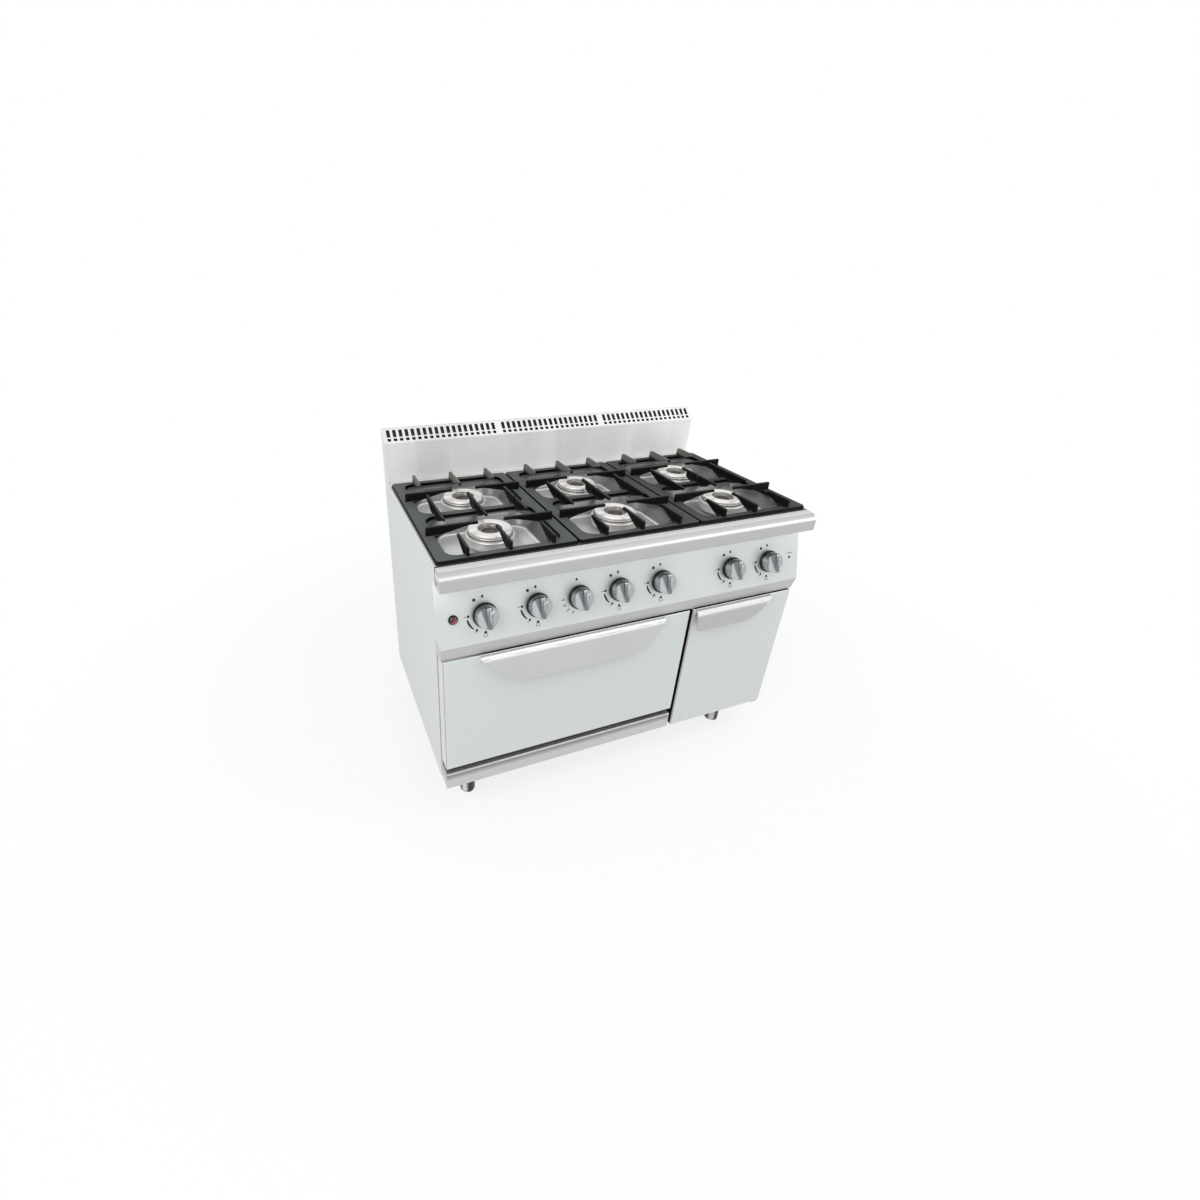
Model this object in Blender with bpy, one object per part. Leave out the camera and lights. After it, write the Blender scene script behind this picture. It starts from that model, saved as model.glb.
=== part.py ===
"""Commercial gas range: six open burners over a drop-door oven and a side cupboard.

Metres, +Z up, the front faces -Y. Depths (d) run back from the door face and heights (z) up from
the floor. The root empty shifts the middle of the overall depth to Y = 0.
"""

import math

import bmesh
import bpy
from mathutils import Matrix, Vector

# Overall body
WIDTH = 1.200
DEPTH = 0.700
SHEET = 0.002
FIT = 0.0003
FOLD = 0.020

# Heights of the front, from the floor up
FOOT_HEIGHT = 0.145
KICK_HEIGHT = 0.066
DOOR_CLEARANCE = 0.0145
OVEN_DOOR_HEIGHT = 0.398
PANEL_CLEARANCE = 0.003
CHAMFER_HEIGHT = 0.043
PANEL_FACE_HEIGHT = 0.1765
NOSE_HEIGHT = 0.0535

# Control panel and worktop section
PANEL_LEAN = math.radians(15.2)
PANEL_PROUD = 0.0056
CHAMFER_SETBACK = 0.0057
NOSE_PROUD = 0.0156
NOSE_RADIUS = 0.028
RIM_HEIGHT = 0.014
SIDE_SETBACK = 0.055

# Doors
DOOR_THICKNESS = 0.050
DOOR_EDGE_INSET = 0.0032
OVEN_DOOR_WIDTH = 0.7927
DOOR_PARTING = 0.013
DOOR_ROUND = 0.004
ROUND_PROFILE = 0.5
OVEN_PIVOT_SETBACK = 0.010
OVEN_PIVOT_RISE = 0.010
HINGE_INSET = 0.090
CHEEK_SLOT = 0.0114
CHEEK_SHEET = 0.003
CUPBOARD_PIVOT_SETBACK = 0.012
CUPBOARD_PIVOT_INSET = 0.013
PIVOT_PIN_RADIUS = 0.003
PIVOT_PIN_REACH = 0.012

# Pull handles, folded from sheet
HANDLE_OUT = 0.030
HANDLE_TOP_OUT = 0.013
HANDLE_DROP = 0.090
HANDLE_TOP_WIDTH = 0.600
HANDLE_LOW_WIDTH = 0.410
HANDLE_CORNER = 0.070
CUPBOARD_HANDLE_OUT = 0.025
CUPBOARD_HANDLE_DROP = 0.067
CUPBOARD_HANDLE_TOP_WIDTH = 0.293
CUPBOARD_HANDLE_LOW_WIDTH = 0.222
CUPBOARD_HANDLE_INSET = 0.007

# Burners, basins and grates
COLUMNS = 3
BURNER_FRONT = 0.185
BURNER_PITCH = 0.2555
BASIN_LAND_X = 0.070
BASIN_LAND_D = 0.013
BASIN_TAPER = 0.030
BASIN_CORNER = 0.070
BASIN_DROP = 0.040
BURNER_RADIUS = 0.065
BURNER_HEIGHT = 0.036
BURNER_NECK = 0.028
BURNER_BORE = 0.022
BURNER_TUBE = 0.050
CAP_THICKNESS = 0.0145
CAP_BORE = 0.029
SPIGOT = 0.007
BURNER_FACETS = 16
GRATE_MARGIN = 0.005
GRATE_GAP = 0.002
GRATE_FRONT = 0.031
GRATE_LENGTH = 0.577
GRATE_OUTER_ROUND = 0.008
GRATE_PAD = 0.020
GRATE_PAD_INSET = 0.006
GRATE_FOOT = 0.0018
GRATE_PLATE = 0.0095
GRATE_BORDER = 0.040
GRATE_BORDER_D = 0.022
GRATE_CORNER = 0.035
GRATE_CROSSBAR = 0.022
BLADE_RISE = 0.0262
BLADE_THICKNESS = 0.0075
BLADE_TIP = 0.009
BLADE_CLEAR = 0.038
BLADE_SIDE_OFFSET = 0.120
BLADE_SIDE_LENGTH = 0.090
BLADE_HEEL = 0.030
BLADE_ROOT = 0.003
BLADE_EDGE_X = 0.012
BLADE_EDGE_D = 0.004

# Upstand with the flue slots
UPSTAND_DEPTH = 0.050
UPSTAND_HEIGHT = 0.1716
UPSTAND_SLOPE = 0.0355
UPSTAND_ROUND = 0.012
SLOT_GROUPS = 3
SLOTS_PER_GROUP = 19
SLOT_BRIDGE = 0.0295
SLOT_SHARE = 0.51
SLOT_LENGTH = 0.030

# Knobs, valves and the igniter button
KNOB_SHARES = (-0.3958, -0.2692, -0.1633, -0.0558, 0.0625, 0.2747, 0.3942)
KNOB_RISE = 0.0755
KNOB_RADIUS = 0.0345
KNOB_SKIRT = 0.007
KNOB_LENGTH = 0.042
KNOB_STANDOFF = 0.005
KNOB_FACE_INSET = 0.007
SCOOP_RADIUS = 0.0165
SCOOP_OFFSET = 0.0230
SCOOP_RISE = 0.0025
SPINDLE_RADIUS = 0.004
SPINDLE_CLEARANCE = 0.0004
SPINDLE_SOCKET = 0.018
SPINDLE_DEPTH = 0.032
PUSH_TRAVEL = 0.004
VALVE_RADIUS = 0.014
VALVE_END = 0.062
RAIL_SETBACK = 0.050
MANIFOLD_RADIUS = 0.0125
MANIFOLD_OVERLAP = 0.006
RAIL_FACETS = 10
BUTTON_SHARE = -0.4667
BUTTON_RADIUS = 0.0125
BUTTON_PROUD = 0.010
BUTTON_STEM = 0.016

# Base, legs and inner casing
BASE_HEIGHT = 0.040
BASE_SIDE = 0.040
BASE_END = 0.080
LEG_INSET_X = 0.100
LEG_INSET_D = 0.052
LEG_RADIUS = 0.025
LEG_BORE = 0.0165
STEM_CLEARANCE = 0.0008
FOOT_EXPOSED = 0.050
FOOT_STEM = 0.040
OVEN_WALL_LEFT = 0.045
OVEN_WALL_RIGHT = 0.033
OVEN_FLOOR_RISE = 0.0315
OVEN_ROOF_DROP = 0.0185
OVEN_BACK_GAP = 0.060
GASKET_WIDTH = 0.0095
SOLE_RISE = 0.048
SOLE_SHEET = 0.003
SOLE_SLOTS = 5
SOLE_SLOT_WIDTH = 0.012
SOLE_SLOT_INSET = 0.040
SOLE_SLOT_BRIDGE = 0.042
SHELF_LEVELS = 4
SHELF_PITCH = 0.060
SHELF_FIRST = 0.056
SHELF_USED = 1
SHELF_THICKNESS = 0.006
SHELF_BARS = 9
SHELF_BAR = 0.007
LEDGE = 0.016
OVEN_BURNER_RADIUS = 0.012
OVEN_BURNER_BEND = 0.100
OVEN_BURNER_FRONT = 0.090
OVEN_BURNER_BACK = 0.060
FLUE_WIDTH = 0.300
FLUE_STOP = 0.010
CRADLE = 0.016
SUPPLY_RADIUS = 0.0105
SUPPLY_UNION = 0.003
SUPPLY_UNION_LENGTH = 0.022
SUPPLY_INSET = 0.030
VENT_ROWS = 2
VENTS_PER_ROW = 5
VENT_PITCH = 0.090
VENT_LENGTH = 0.070
VENT_HEIGHT = 0.006
VENT_ROW_PITCH = 0.050
VENT_DROP = 0.126

# Places worked out from the sizes above
HALF = WIDTH / 2
Z_BASE = FOOT_HEIGHT
Z_KICK = Z_BASE + KICK_HEIGHT
Z_DOOR = Z_KICK + DOOR_CLEARANCE
Z_DOOR_TOP = Z_DOOR + OVEN_DOOR_HEIGHT
Z_PANEL = Z_DOOR_TOP + PANEL_CLEARANCE
Z_PANEL_EDGE = Z_PANEL + CHAMFER_HEIGHT
Z_NOSE = Z_PANEL_EDGE + PANEL_FACE_HEIGHT
Z_TOP = Z_NOSE + FIT + NOSE_HEIGHT
Z_RIM = Z_TOP - RIM_HEIGHT
Z_FRAME = Z_BASE + BASE_HEIGHT
KNOB_OUT = PANEL_PROUD - KNOB_RISE * math.tan(PANEL_LEAN)
KNOB_OUT += (KNOB_STANDOFF + KNOB_LENGTH) * math.cos(PANEL_LEAN)
KNOB_OUT += (KNOB_RADIUS - KNOB_FACE_INSET) * math.sin(PANEL_LEAN)
Y_MID = (DEPTH - max(HANDLE_OUT, KNOB_OUT)) / 2
BODY_BACK = SIDE_SETBACK - FIT
FLANGE_START = SIDE_SETBACK
INNER = HALF - FOLD - FIT
OVEN_LEFT = -HALF + DOOR_EDGE_INSET
OVEN_RIGHT = OVEN_LEFT + OVEN_DOOR_WIDTH
CUPBOARD_LEFT = OVEN_RIGHT + DOOR_PARTING
CUPBOARD_RIGHT = HALF - DOOR_EDGE_INSET
CAVITY_X = (-HALF + OVEN_WALL_LEFT, OVEN_RIGHT - OVEN_WALL_RIGHT)
OVEN_BACK = DEPTH - OVEN_BACK_GAP
CAVITY_Z = (Z_DOOR + OVEN_FLOOR_RISE, Z_DOOR_TOP - OVEN_ROOF_DROP)
Z_SOLE = CAVITY_Z[0] + SOLE_RISE
Z_BASIN = Z_TOP - BASIN_DROP
Z_BURNER = Z_BASIN + FIT + BURNER_HEIGHT
Z_GRATE = Z_TOP + FIT + GRATE_FOOT
BURNER_ROWS = (BURNER_FRONT, BURNER_FRONT + BURNER_PITCH)
COLUMN_PITCH = WIDTH / COLUMNS
BURNER_COLUMNS = [COLUMN_PITCH * (k - (COLUMNS - 1) / 2) for k in range(COLUMNS)]
BASIN_WIDTH = COLUMN_PITCH - BASIN_LAND_X
BASIN_DEPTH = BURNER_PITCH - BASIN_LAND_D
KNOB_PLACES = [WIDTH * share for share in KNOB_SHARES]
BUTTON_PLACE = WIDTH * BUTTON_SHARE
VALVE_START = SHEET + FIT

for old in list(bpy.data.objects):
    bpy.data.objects.remove(old)

root = bpy.data.objects.new("range_origin", None)
bpy.context.scene.collection.objects.link(root)
root.location.y = -Y_MID


def material(name, colour, roughness, metallic):
    made = bpy.data.materials.new(name)
    made.use_nodes = True
    shader = made.node_tree.nodes["Principled BSDF"]
    shader.inputs["Base Color"].default_value = (*colour, 1)
    shader.inputs["Roughness"].default_value = roughness
    shader.inputs["Metallic"].default_value = metallic
    return made


SATIN_STEEL = material("satin_steel", (0.62, 0.66, 0.65), 0.38, 0.9)
BRUSHED_STEEL = material("brushed_steel", (0.56, 0.56, 0.55), 0.32, 0.9)
CAST_IRON = material("black_cast_iron", (0.03, 0.03, 0.032), 0.62, 0.2)
BURNER_ALLOY = material("burner_alloy", (0.58, 0.57, 0.54), 0.28, 1.0)
KNOB_METAL = material("knob_metal", (0.42, 0.43, 0.44), 0.30, 0.9)
BRASS = material("valve_brass", (0.70, 0.52, 0.24), 0.35, 1.0)
PAINTED_STEEL = material("painted_frame_steel", (0.20, 0.20, 0.21), 0.55, 0.5)
OVEN_ENAMEL = material("oven_enamel", (0.10, 0.10, 0.11), 0.30, 0.0)
WIRE_CHROME = material("shelf_chrome", (0.70, 0.70, 0.70), 0.20, 1.0)
SEAL_ROPE = material("seal_rope", (0.12, 0.12, 0.12), 0.90, 0.0)
RED_PLASTIC = material("red_plastic", (0.62, 0.03, 0.05), 0.35, 0.0)


def add(name, bm, finish=None):
    """One object from a bmesh. Without a finish it is a cutting or joining guide."""
    bmesh.ops.recalc_face_normals(bm, faces=bm.faces)
    mesh = bpy.data.meshes.new(name)
    bm.to_mesh(mesh)
    bm.free()
    obj = bpy.data.objects.new(name, mesh)
    bpy.context.scene.collection.objects.link(obj)
    obj.parent = root
    if finish:
        mesh.materials.append(finish)
    else:
        obj.hide_render = True
        obj.display_type = "WIRE"
    return obj


def combine(target, other, operation="DIFFERENCE"):
    modifier = target.modifiers.new(operation.lower(), "BOOLEAN")
    modifier.operation = operation
    modifier.solver = "EXACT"
    modifier.object = other


def smooth(obj, angle=35):
    obj.data.shade_smooth()
    obj.data.set_sharp_from_angle(angle=math.radians(angle))


def pivot_at(obj, point):
    """Moves the object's origin to its joint without moving its shape."""
    obj.data.transform(Matrix.Translation(-Vector(point)))
    obj.location = point


def box(bm, x, d, z):
    low = Vector((x[0], d[0], z[0]))
    high = Vector((x[1], d[1], z[1]))
    size = Matrix.Diagonal((*(high - low), 1))
    made = bmesh.ops.create_cube(bm, size=1, matrix=Matrix.Translation((low + high) / 2) @ size)
    return made["verts"]


def loft(bm, rings):
    """A closed skin through rings of points, with both ends capped."""
    rings = [[bm.verts.new(point) for point in ring] for ring in rings]
    bm.faces.new(rings[0])
    bm.faces.new(rings[-1])
    for low, high in zip(rings, rings[1:]):
        for i in range(len(low)):
            j = (i + 1) % len(low)
            bm.faces.new((low[i], low[j], high[j], high[i]))


def prism_x(bm, outline, x):
    loft(bm, [[(place, d, z) for d, z in outline] for place in x])


def prism_d(bm, outline, d):
    loft(bm, [[(x, place, z) for x, z in outline] for place in d])


def prism_z(bm, outline, z):
    loft(bm, [[(x, d, place) for x, d in outline] for place in z])


def turned(bm, profile, steps, frame, ring=False):
    """Revolves (radius, height) points about the frame's Z. A ring profile closes on itself."""
    hoops = []
    for radius, height in profile:
        turns = steps if radius > 0 else 1
        angles = [math.tau * k / steps for k in range(turns)]
        points = [Vector((radius * math.cos(a), radius * math.sin(a), height)) for a in angles]
        hoops.append([bm.verts.new(frame @ point) for point in points])
    pairs = list(zip(hoops, hoops[1:]))
    if ring:
        pairs.append((hoops[-1], hoops[0]))
    for low, high in pairs:
        for k in range(steps):
            n = (k + 1) % steps
            corners = [low[k % len(low)], low[n % len(low)], high[n % len(high)], high[k % len(high)]]
            bm.faces.new(list(dict.fromkeys(corners)))


def arc(centre, radius, start, end, steps):
    angles = [math.radians(start + (end - start) * k / steps) for k in range(steps + 1)]
    return [(centre[0] + radius * math.cos(a), centre[1] + radius * math.sin(a)) for a in angles]


def rounded(u, v, radius, steps=4):
    """A rectangle with round corners, as points in order."""
    corners = ((u[1], v[1], 0), (u[0], v[1], 90), (u[0], v[0], 180), (u[1], v[0], 270))
    points = []
    for a, b, start in corners:
        centre = (a - math.copysign(radius, a - sum(u) / 2), b - math.copysign(radius, b - sum(v) / 2))
        points += arc(centre, radius, start, start + 90, steps)
    return points


def strip(path, thickness):
    """The outline of a folded sheet: the path and its copy one thickness to the left."""
    inner = []
    for k, point in enumerate(path):
        here = Vector(point)
        ways = [Vector(path[k + 1]) - here] if k + 1 < len(path) else []
        ways += [here - Vector(path[k - 1])] if k else []
        normals = [Vector((-way.y, way.x)).normalized() for way in ways]
        bisector = sum(normals, Vector((0, 0))).normalized()
        inner.append(tuple(here + bisector * (thickness / bisector.dot(normals[0]))))
    return list(path) + inner[::-1]


def panel_depth(z):
    """Depth of the leaning control face at a height."""
    return -PANEL_PROUD + (z - Z_PANEL_EDGE) * math.tan(PANEL_LEAN)


def panel_frame(x):
    """A frame on the control face, its Z pointing out of the face and its Y up the face."""
    z = Z_PANEL_EDGE + KNOB_RISE
    out = Vector((0, -math.cos(PANEL_LEAN), math.sin(PANEL_LEAN)))
    up = Vector((0, math.sin(PANEL_LEAN), math.cos(PANEL_LEAN)))
    frame = Matrix((Vector((1, 0, 0)), up, out)).transposed().to_4x4()
    return Matrix.Translation((x, panel_depth(z), z)) @ frame


def upright(x, d, z=0):
    return Matrix.Translation((x, d, z))


def tray(name, finish, x, d, z, open_side):
    """A pan of folded sheet, open on one side ('+x', '-x' or '+d')."""
    bm = bmesh.new()
    box(bm, x, d, z)
    pan = add(name, bm, finish)
    reach = 0.01
    low = [x[0] + SHEET, d[0] + SHEET, z[0] + SHEET]
    high = [x[1] - SHEET, d[1] - SHEET, z[1] - SHEET]
    if open_side[0] == "+":
        high["xd".index(open_side[1])] += SHEET + reach
    else:
        low["xd".index(open_side[1])] -= SHEET + reach
    bm = bmesh.new()
    box(bm, *zip(low, high))
    combine(pan, add(name + "_hollow", bm))
    return pan


# Base frame with its leg tubes and the cupboard's lower pivot
def base_frame():
    bm = bmesh.new()
    front = FLANGE_START
    box(bm, (-INNER, INNER), (front, DEPTH - SHEET - FIT), (Z_BASE, Z_FRAME))
    frame = add("base_frame", bm, PAINTED_STEEL)
    bm = bmesh.new()
    bay = (front + BASE_END, DEPTH - BASE_END)
    middle = OVEN_RIGHT + DOOR_PARTING / 2
    tall = (Z_BASE - 0.01, Z_FRAME + 0.01)
    box(bm, (-INNER + BASE_SIDE, middle - BASE_SIDE / 2), bay, tall)
    box(bm, (middle + BASE_SIDE / 2, INNER - BASE_SIDE), bay, tall)
    combine(frame, add("base_bays", bm))
    bm = bmesh.new()
    tube = ((LEG_BORE, FOOT_EXPOSED), (LEG_RADIUS, FOOT_EXPOSED))
    tube += ((LEG_RADIUS, Z_BASE + SHEET), (LEG_BORE, Z_BASE + SHEET))
    for x, d in leg_places():
        turned(bm, tube, 16, upright(x, d), ring=True)
    combine(frame, add("leg_tubes", bm), "UNION")
    bm = bmesh.new()
    x, d = cupboard_pivot()
    low, high = Z_BASE - FIT - 2 * SHEET, Z_BASE - FIT
    box(bm, (x - 0.016, x + 0.008), (d - 0.008, front + 0.03), (low, high))
    bracket = add("lower_pivot_bracket", bm)
    bm = bmesh.new()
    box(bm, (x - 0.016, INNER - SHEET), (front + SHEET, front + 0.03), (low + SHEET, Z_BASE + SHEET))
    combine(bracket, add("lower_pivot_lug", bm), "UNION")
    bm = bmesh.new()
    pin = ((0, low + SHEET), (PIVOT_PIN_RADIUS, low + SHEET))
    pin += ((PIVOT_PIN_RADIUS, Z_BASE + PIVOT_PIN_REACH), (0, Z_BASE + PIVOT_PIN_REACH))
    turned(bm, pin, 12, upright(x, d))
    combine(bracket, add("lower_pivot_pin", bm), "UNION")
    combine(frame, bracket, "UNION")


def leg_places():
    front = FLANGE_START + LEG_INSET_D
    back = DEPTH - LEG_INSET_D
    return [(side * (HALF - LEG_INSET_X), d) for d in (front, back) for side in (-1, 1)]


def cupboard_pivot():
    return CUPBOARD_RIGHT - CUPBOARD_PIVOT_INSET, CUPBOARD_PIVOT_SETBACK


# Screw feet, each a disc and collar under a stem that runs up inside its leg tube
def feet():
    collar = LEG_RADIUS - 0.004
    top = FOOT_EXPOSED - FIT
    profile = ((0, 0), (LEG_RADIUS, 0), (LEG_RADIUS + 0.002, 0.003), (LEG_RADIUS + 0.002, 0.012))
    stem = LEG_BORE - STEM_CLEARANCE
    profile += ((collar, 0.015), (collar, top), (stem, top), (stem, top + FOOT_STEM), (0, top + FOOT_STEM))
    names = ("foot_front_left", "foot_front_right", "foot_back_left", "foot_back_right")
    for name, (x, d) in zip(names, leg_places()):
        bm = bmesh.new()
        turned(bm, profile, 16, Matrix())
        foot = add(name, bm, BRUSHED_STEEL)
        foot.location = (x, d, 0)
        smooth(foot)


# Outer casing
def casing():
    depth = (SIDE_SETBACK, DEPTH)
    height = (Z_BASE, Z_RIM - FIT)
    tray("left_side_panel", SATIN_STEEL, (-HALF, -HALF + FOLD), depth, height, "+x")
    tray("right_side_panel", SATIN_STEEL, (HALF - FOLD, HALF), depth, height, "-x")
    bm = bmesh.new()
    box(bm, (-INNER, INNER), (DEPTH - SHEET, DEPTH), (Z_BASE, Z_RIM - FIT))
    back = add("back_panel", bm, SATIN_STEEL)
    bm = bmesh.new()
    for row in range(VENT_ROWS):
        for k in range(VENTS_PER_ROW):
            x = VENT_PITCH * (k - (VENTS_PER_ROW - 1) / 2)
            z = Z_RIM - VENT_DROP - VENT_ROW_PITCH * row
            vent = (x - VENT_LENGTH / 2, x + VENT_LENGTH / 2)
            box(bm, vent, (DEPTH - 0.01, DEPTH + 0.01), (z, z + VENT_HEIGHT))
    box(bm, *supply_hole())
    combine(back, add("back_vents", bm))
    bm = bmesh.new()
    left = OVEN_RIGHT + DOOR_PARTING / 2 - SHEET / 2
    front, rear = FLANGE_START, DEPTH - SHEET - FIT
    flange = ((left - 0.004, front), (left + 0.012, front), (left + 0.012, front + SHEET))
    flange += ((left + SHEET, front + SHEET), (left + SHEET, rear), (left, rear), (left, front + SHEET))
    flange += ((left - 0.004, front + SHEET),)
    prism_z(bm, flange, (Z_FRAME + FIT, Z_PANEL + CHAMFER_HEIGHT))
    add("partition_panel", bm, SATIN_STEEL)
    bm = bmesh.new()
    x = (left + SHEET + FIT, INNER)
    box(bm, x, (front + SHEET + FIT, rear), (Z_FRAME + FIT, Z_FRAME + FIT + SHEET))
    add("cupboard_floor", bm, SATIN_STEEL)
    x = (OVEN_LEFT, OVEN_RIGHT)
    tray("kick_strip", SATIN_STEEL, x, (0, FLANGE_START - FIT), (Z_BASE, Z_KICK), "+d")


def supply_hole():
    x, z = supply_place()
    r = SUPPLY_RADIUS + SUPPLY_UNION + SHEET / 2
    return (x - r, x + r), (DEPTH - 0.01, DEPTH + 0.01), (z - r, z + r)


def supply_place():
    """The inlet run meets the back of the tap rail, so it lies at the rail's height."""
    return INNER - SUPPLY_INSET, rail_place().z


# Leaning control panel, folded round its ends and bottom and open behind
def control_panel():
    top = panel_depth(Z_NOSE)
    skin = SHEET / math.cos(PANEL_LEAN)
    outer = ((CHAMFER_SETBACK, Z_PANEL), (-PANEL_PROUD, Z_PANEL_EDGE), (top, Z_NOSE))
    outer += ((BODY_BACK, Z_NOSE), (BODY_BACK, Z_PANEL))
    bm = bmesh.new()
    prism_x(bm, outer, (-HALF, HALF))
    panel = add("control_panel", bm, SATIN_STEEL)
    inner = ((CHAMFER_SETBACK + skin, Z_PANEL + SHEET), (-PANEL_PROUD + skin, Z_PANEL_EDGE))
    inner += ((panel_depth(Z_NOSE - SHEET) + skin, Z_NOSE - SHEET), (BODY_BACK + 0.01, Z_NOSE - SHEET))
    inner += ((BODY_BACK + 0.01, Z_PANEL + SHEET),)
    bm = bmesh.new()
    prism_x(bm, inner, (-HALF + SHEET, HALF - SHEET))
    combine(panel, add("panel_hollow", bm))
    bm = bmesh.new()
    clear = SPINDLE_RADIUS + 0.002
    for x in KNOB_PLACES:
        turned(bm, ((0, -0.01), (clear, -0.01), (clear, 0.01), (0, 0.01)), 10, panel_frame(x))
    clear = BUTTON_RADIUS + 0.0005
    turned(bm, ((0, -0.01), (clear, -0.01), (clear, 0.01), (0, 0.01)), 16, panel_frame(BUTTON_PLACE))
    combine(panel, add("panel_holes", bm))
    bm = bmesh.new()
    x, d = cupboard_pivot()
    low = Z_DOOR_TOP - PIVOT_PIN_REACH
    pin = ((0, low), (PIVOT_PIN_RADIUS, low), (PIVOT_PIN_RADIUS, Z_PANEL + SHEET / 2))
    turned(bm, pin + ((0, Z_PANEL + SHEET / 2),), 12, upright(x, d))
    combine(panel, add("upper_pivot_pin", bm), "UNION")


# Worktop: bullnose front, thin rims and six pressed basins with a burner hole each
def worktop():
    front = -NOSE_PROUD
    bend = (front + NOSE_RADIUS, Z_TOP - NOSE_RADIUS)
    low = Z_NOSE + FIT
    outer = [(DEPTH, Z_RIM), (DEPTH, Z_TOP)] + arc(bend, NOSE_RADIUS, 90, 180, 6)
    outer += [(front, low), (BODY_BACK, low), (BODY_BACK, Z_RIM)]
    bm = bmesh.new()
    prism_x(bm, outer, (-HALF, HALF))
    top = add("worktop", bm, BRUSHED_STEEL)
    inner = [(DEPTH - SHEET, Z_RIM - 0.01), (DEPTH - SHEET, Z_TOP - SHEET)]
    inner += arc(bend, NOSE_RADIUS - SHEET, 90, 180, 6)
    inner += [(front + SHEET, low + SHEET), (BODY_BACK + SHEET, low + SHEET)]
    inner += [(BODY_BACK + SHEET, Z_RIM - 0.01)]
    bm = bmesh.new()
    prism_x(bm, inner, (-HALF + SHEET, HALF - SHEET))
    combine(top, add("worktop_hollow", bm))
    combine(top, basins("basin_pans", SHEET, Z_BASIN - SHEET, Z_TOP - SHEET / 2), "UNION")
    combine(top, basins("basin_hollows", 0, Z_BASIN, Z_TOP + 0.01))
    bm = bmesh.new()
    clear = BURNER_NECK + 0.0005
    hole = ((0, Z_BASIN - 0.02), (clear, Z_BASIN - 0.02), (clear, Z_BASIN + 0.01), (0, Z_BASIN + 0.01))
    for x, d in burner_places():
        turned(bm, hole, BURNER_FACETS, upright(x, d))
    flue = flue_span()
    box(bm, flue[0], flue[1], (Z_TOP - 0.02, Z_TOP + 0.01))
    combine(top, add("worktop_holes", bm))


def basins(name, extra, low, high):
    """Tapered, round-cornered pans under the burners, grown by a sheet for their outside."""
    bm = bmesh.new()
    for x, d in burner_places():
        rings = []
        for z in (low, high):
            rise = min((z - Z_BASIN) / BASIN_DROP, 1)
            inset = BASIN_TAPER * (1 - rise) - extra
            half_x, half_d = BASIN_WIDTH / 2 - inset, BASIN_DEPTH / 2 - inset
            corner = BASIN_CORNER - BASIN_TAPER * (1 - rise) + extra
            outline = rounded((x - half_x, x + half_x), (d - half_d, d + half_d), corner, 3)
            rings.append([(u, v, z) for u, v in outline])
        loft(bm, rings)
    return add(name, bm)


def burner_places():
    return [(x, d) for d in BURNER_ROWS for x in BURNER_COLUMNS]


def flue_span():
    centre = sum(CAVITY_X) / 2
    x = (centre - FLUE_WIDTH / 2 + SHEET, centre + FLUE_WIDTH / 2 - SHEET)
    return x, (OVEN_BACK + 2 * SHEET + 0.010, DEPTH - 3 * SHEET)


# Flue upstand: a hollow box with a rounded slope, slotted in three groups
def flue_upstand():
    front = DEPTH - UPSTAND_DEPTH
    low = Z_TOP + FIT
    high = low + UPSTAND_HEIGHT
    knee = (front, high - UPSTAND_SLOPE)
    crest = (front + UPSTAND_SLOPE, high)
    bm = bmesh.new()
    prism_x(bm, slope_outline(front, knee, crest, high, low, 0), (-HALF, HALF))
    upstand = add("flue_upstand", bm, BRUSHED_STEEL)
    bm = bmesh.new()
    prism_x(bm, slope_outline(front, knee, crest, high, low - 0.01, SHEET), (-HALF + SHEET, HALF - SHEET))
    combine(upstand, add("upstand_hollow", bm))
    bm = bmesh.new()
    middle = (Vector(knee) + Vector(crest)) / 2
    tilt = Matrix.Translation((0, *middle)) @ Matrix.Rotation(math.radians(45), 4, "X")
    bay = WIDTH / SLOT_GROUPS
    pitch = (bay - SLOT_BRIDGE) / SLOTS_PER_GROUP
    half = pitch * SLOT_SHARE / 2
    for group in range(SLOT_GROUPS):
        centre = bay * (group - (SLOT_GROUPS - 1) / 2)
        for k in range(SLOTS_PER_GROUP):
            x = centre + pitch * (k - (SLOTS_PER_GROUP - 1) / 2)
            verts = box(bm, (x - half, x + half), (-SLOT_LENGTH / 2, SLOT_LENGTH / 2), (-0.008, 0.008))
            bmesh.ops.transform(bm, matrix=tilt, verts=verts)
    combine(upstand, add("upstand_slots", bm))


def slope_outline(front, knee, crest, high, low, wall):
    """The upstand's section, drawn in by one wall for its hollow, with rounded slope ends."""
    turn = UPSTAND_ROUND * math.tan(math.radians(22.5))
    lower = (knee[0] + UPSTAND_ROUND, knee[1] - turn)
    upper = (crest[0] + turn, crest[1] - UPSTAND_ROUND)
    radius = UPSTAND_ROUND - wall
    points = [(front + wall, low)] + arc(lower, radius, 180, 135, 3) + arc(upper, radius, 135, 90, 3)
    return points + [(DEPTH - wall, high - wall), (DEPTH - wall, low)]


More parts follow.
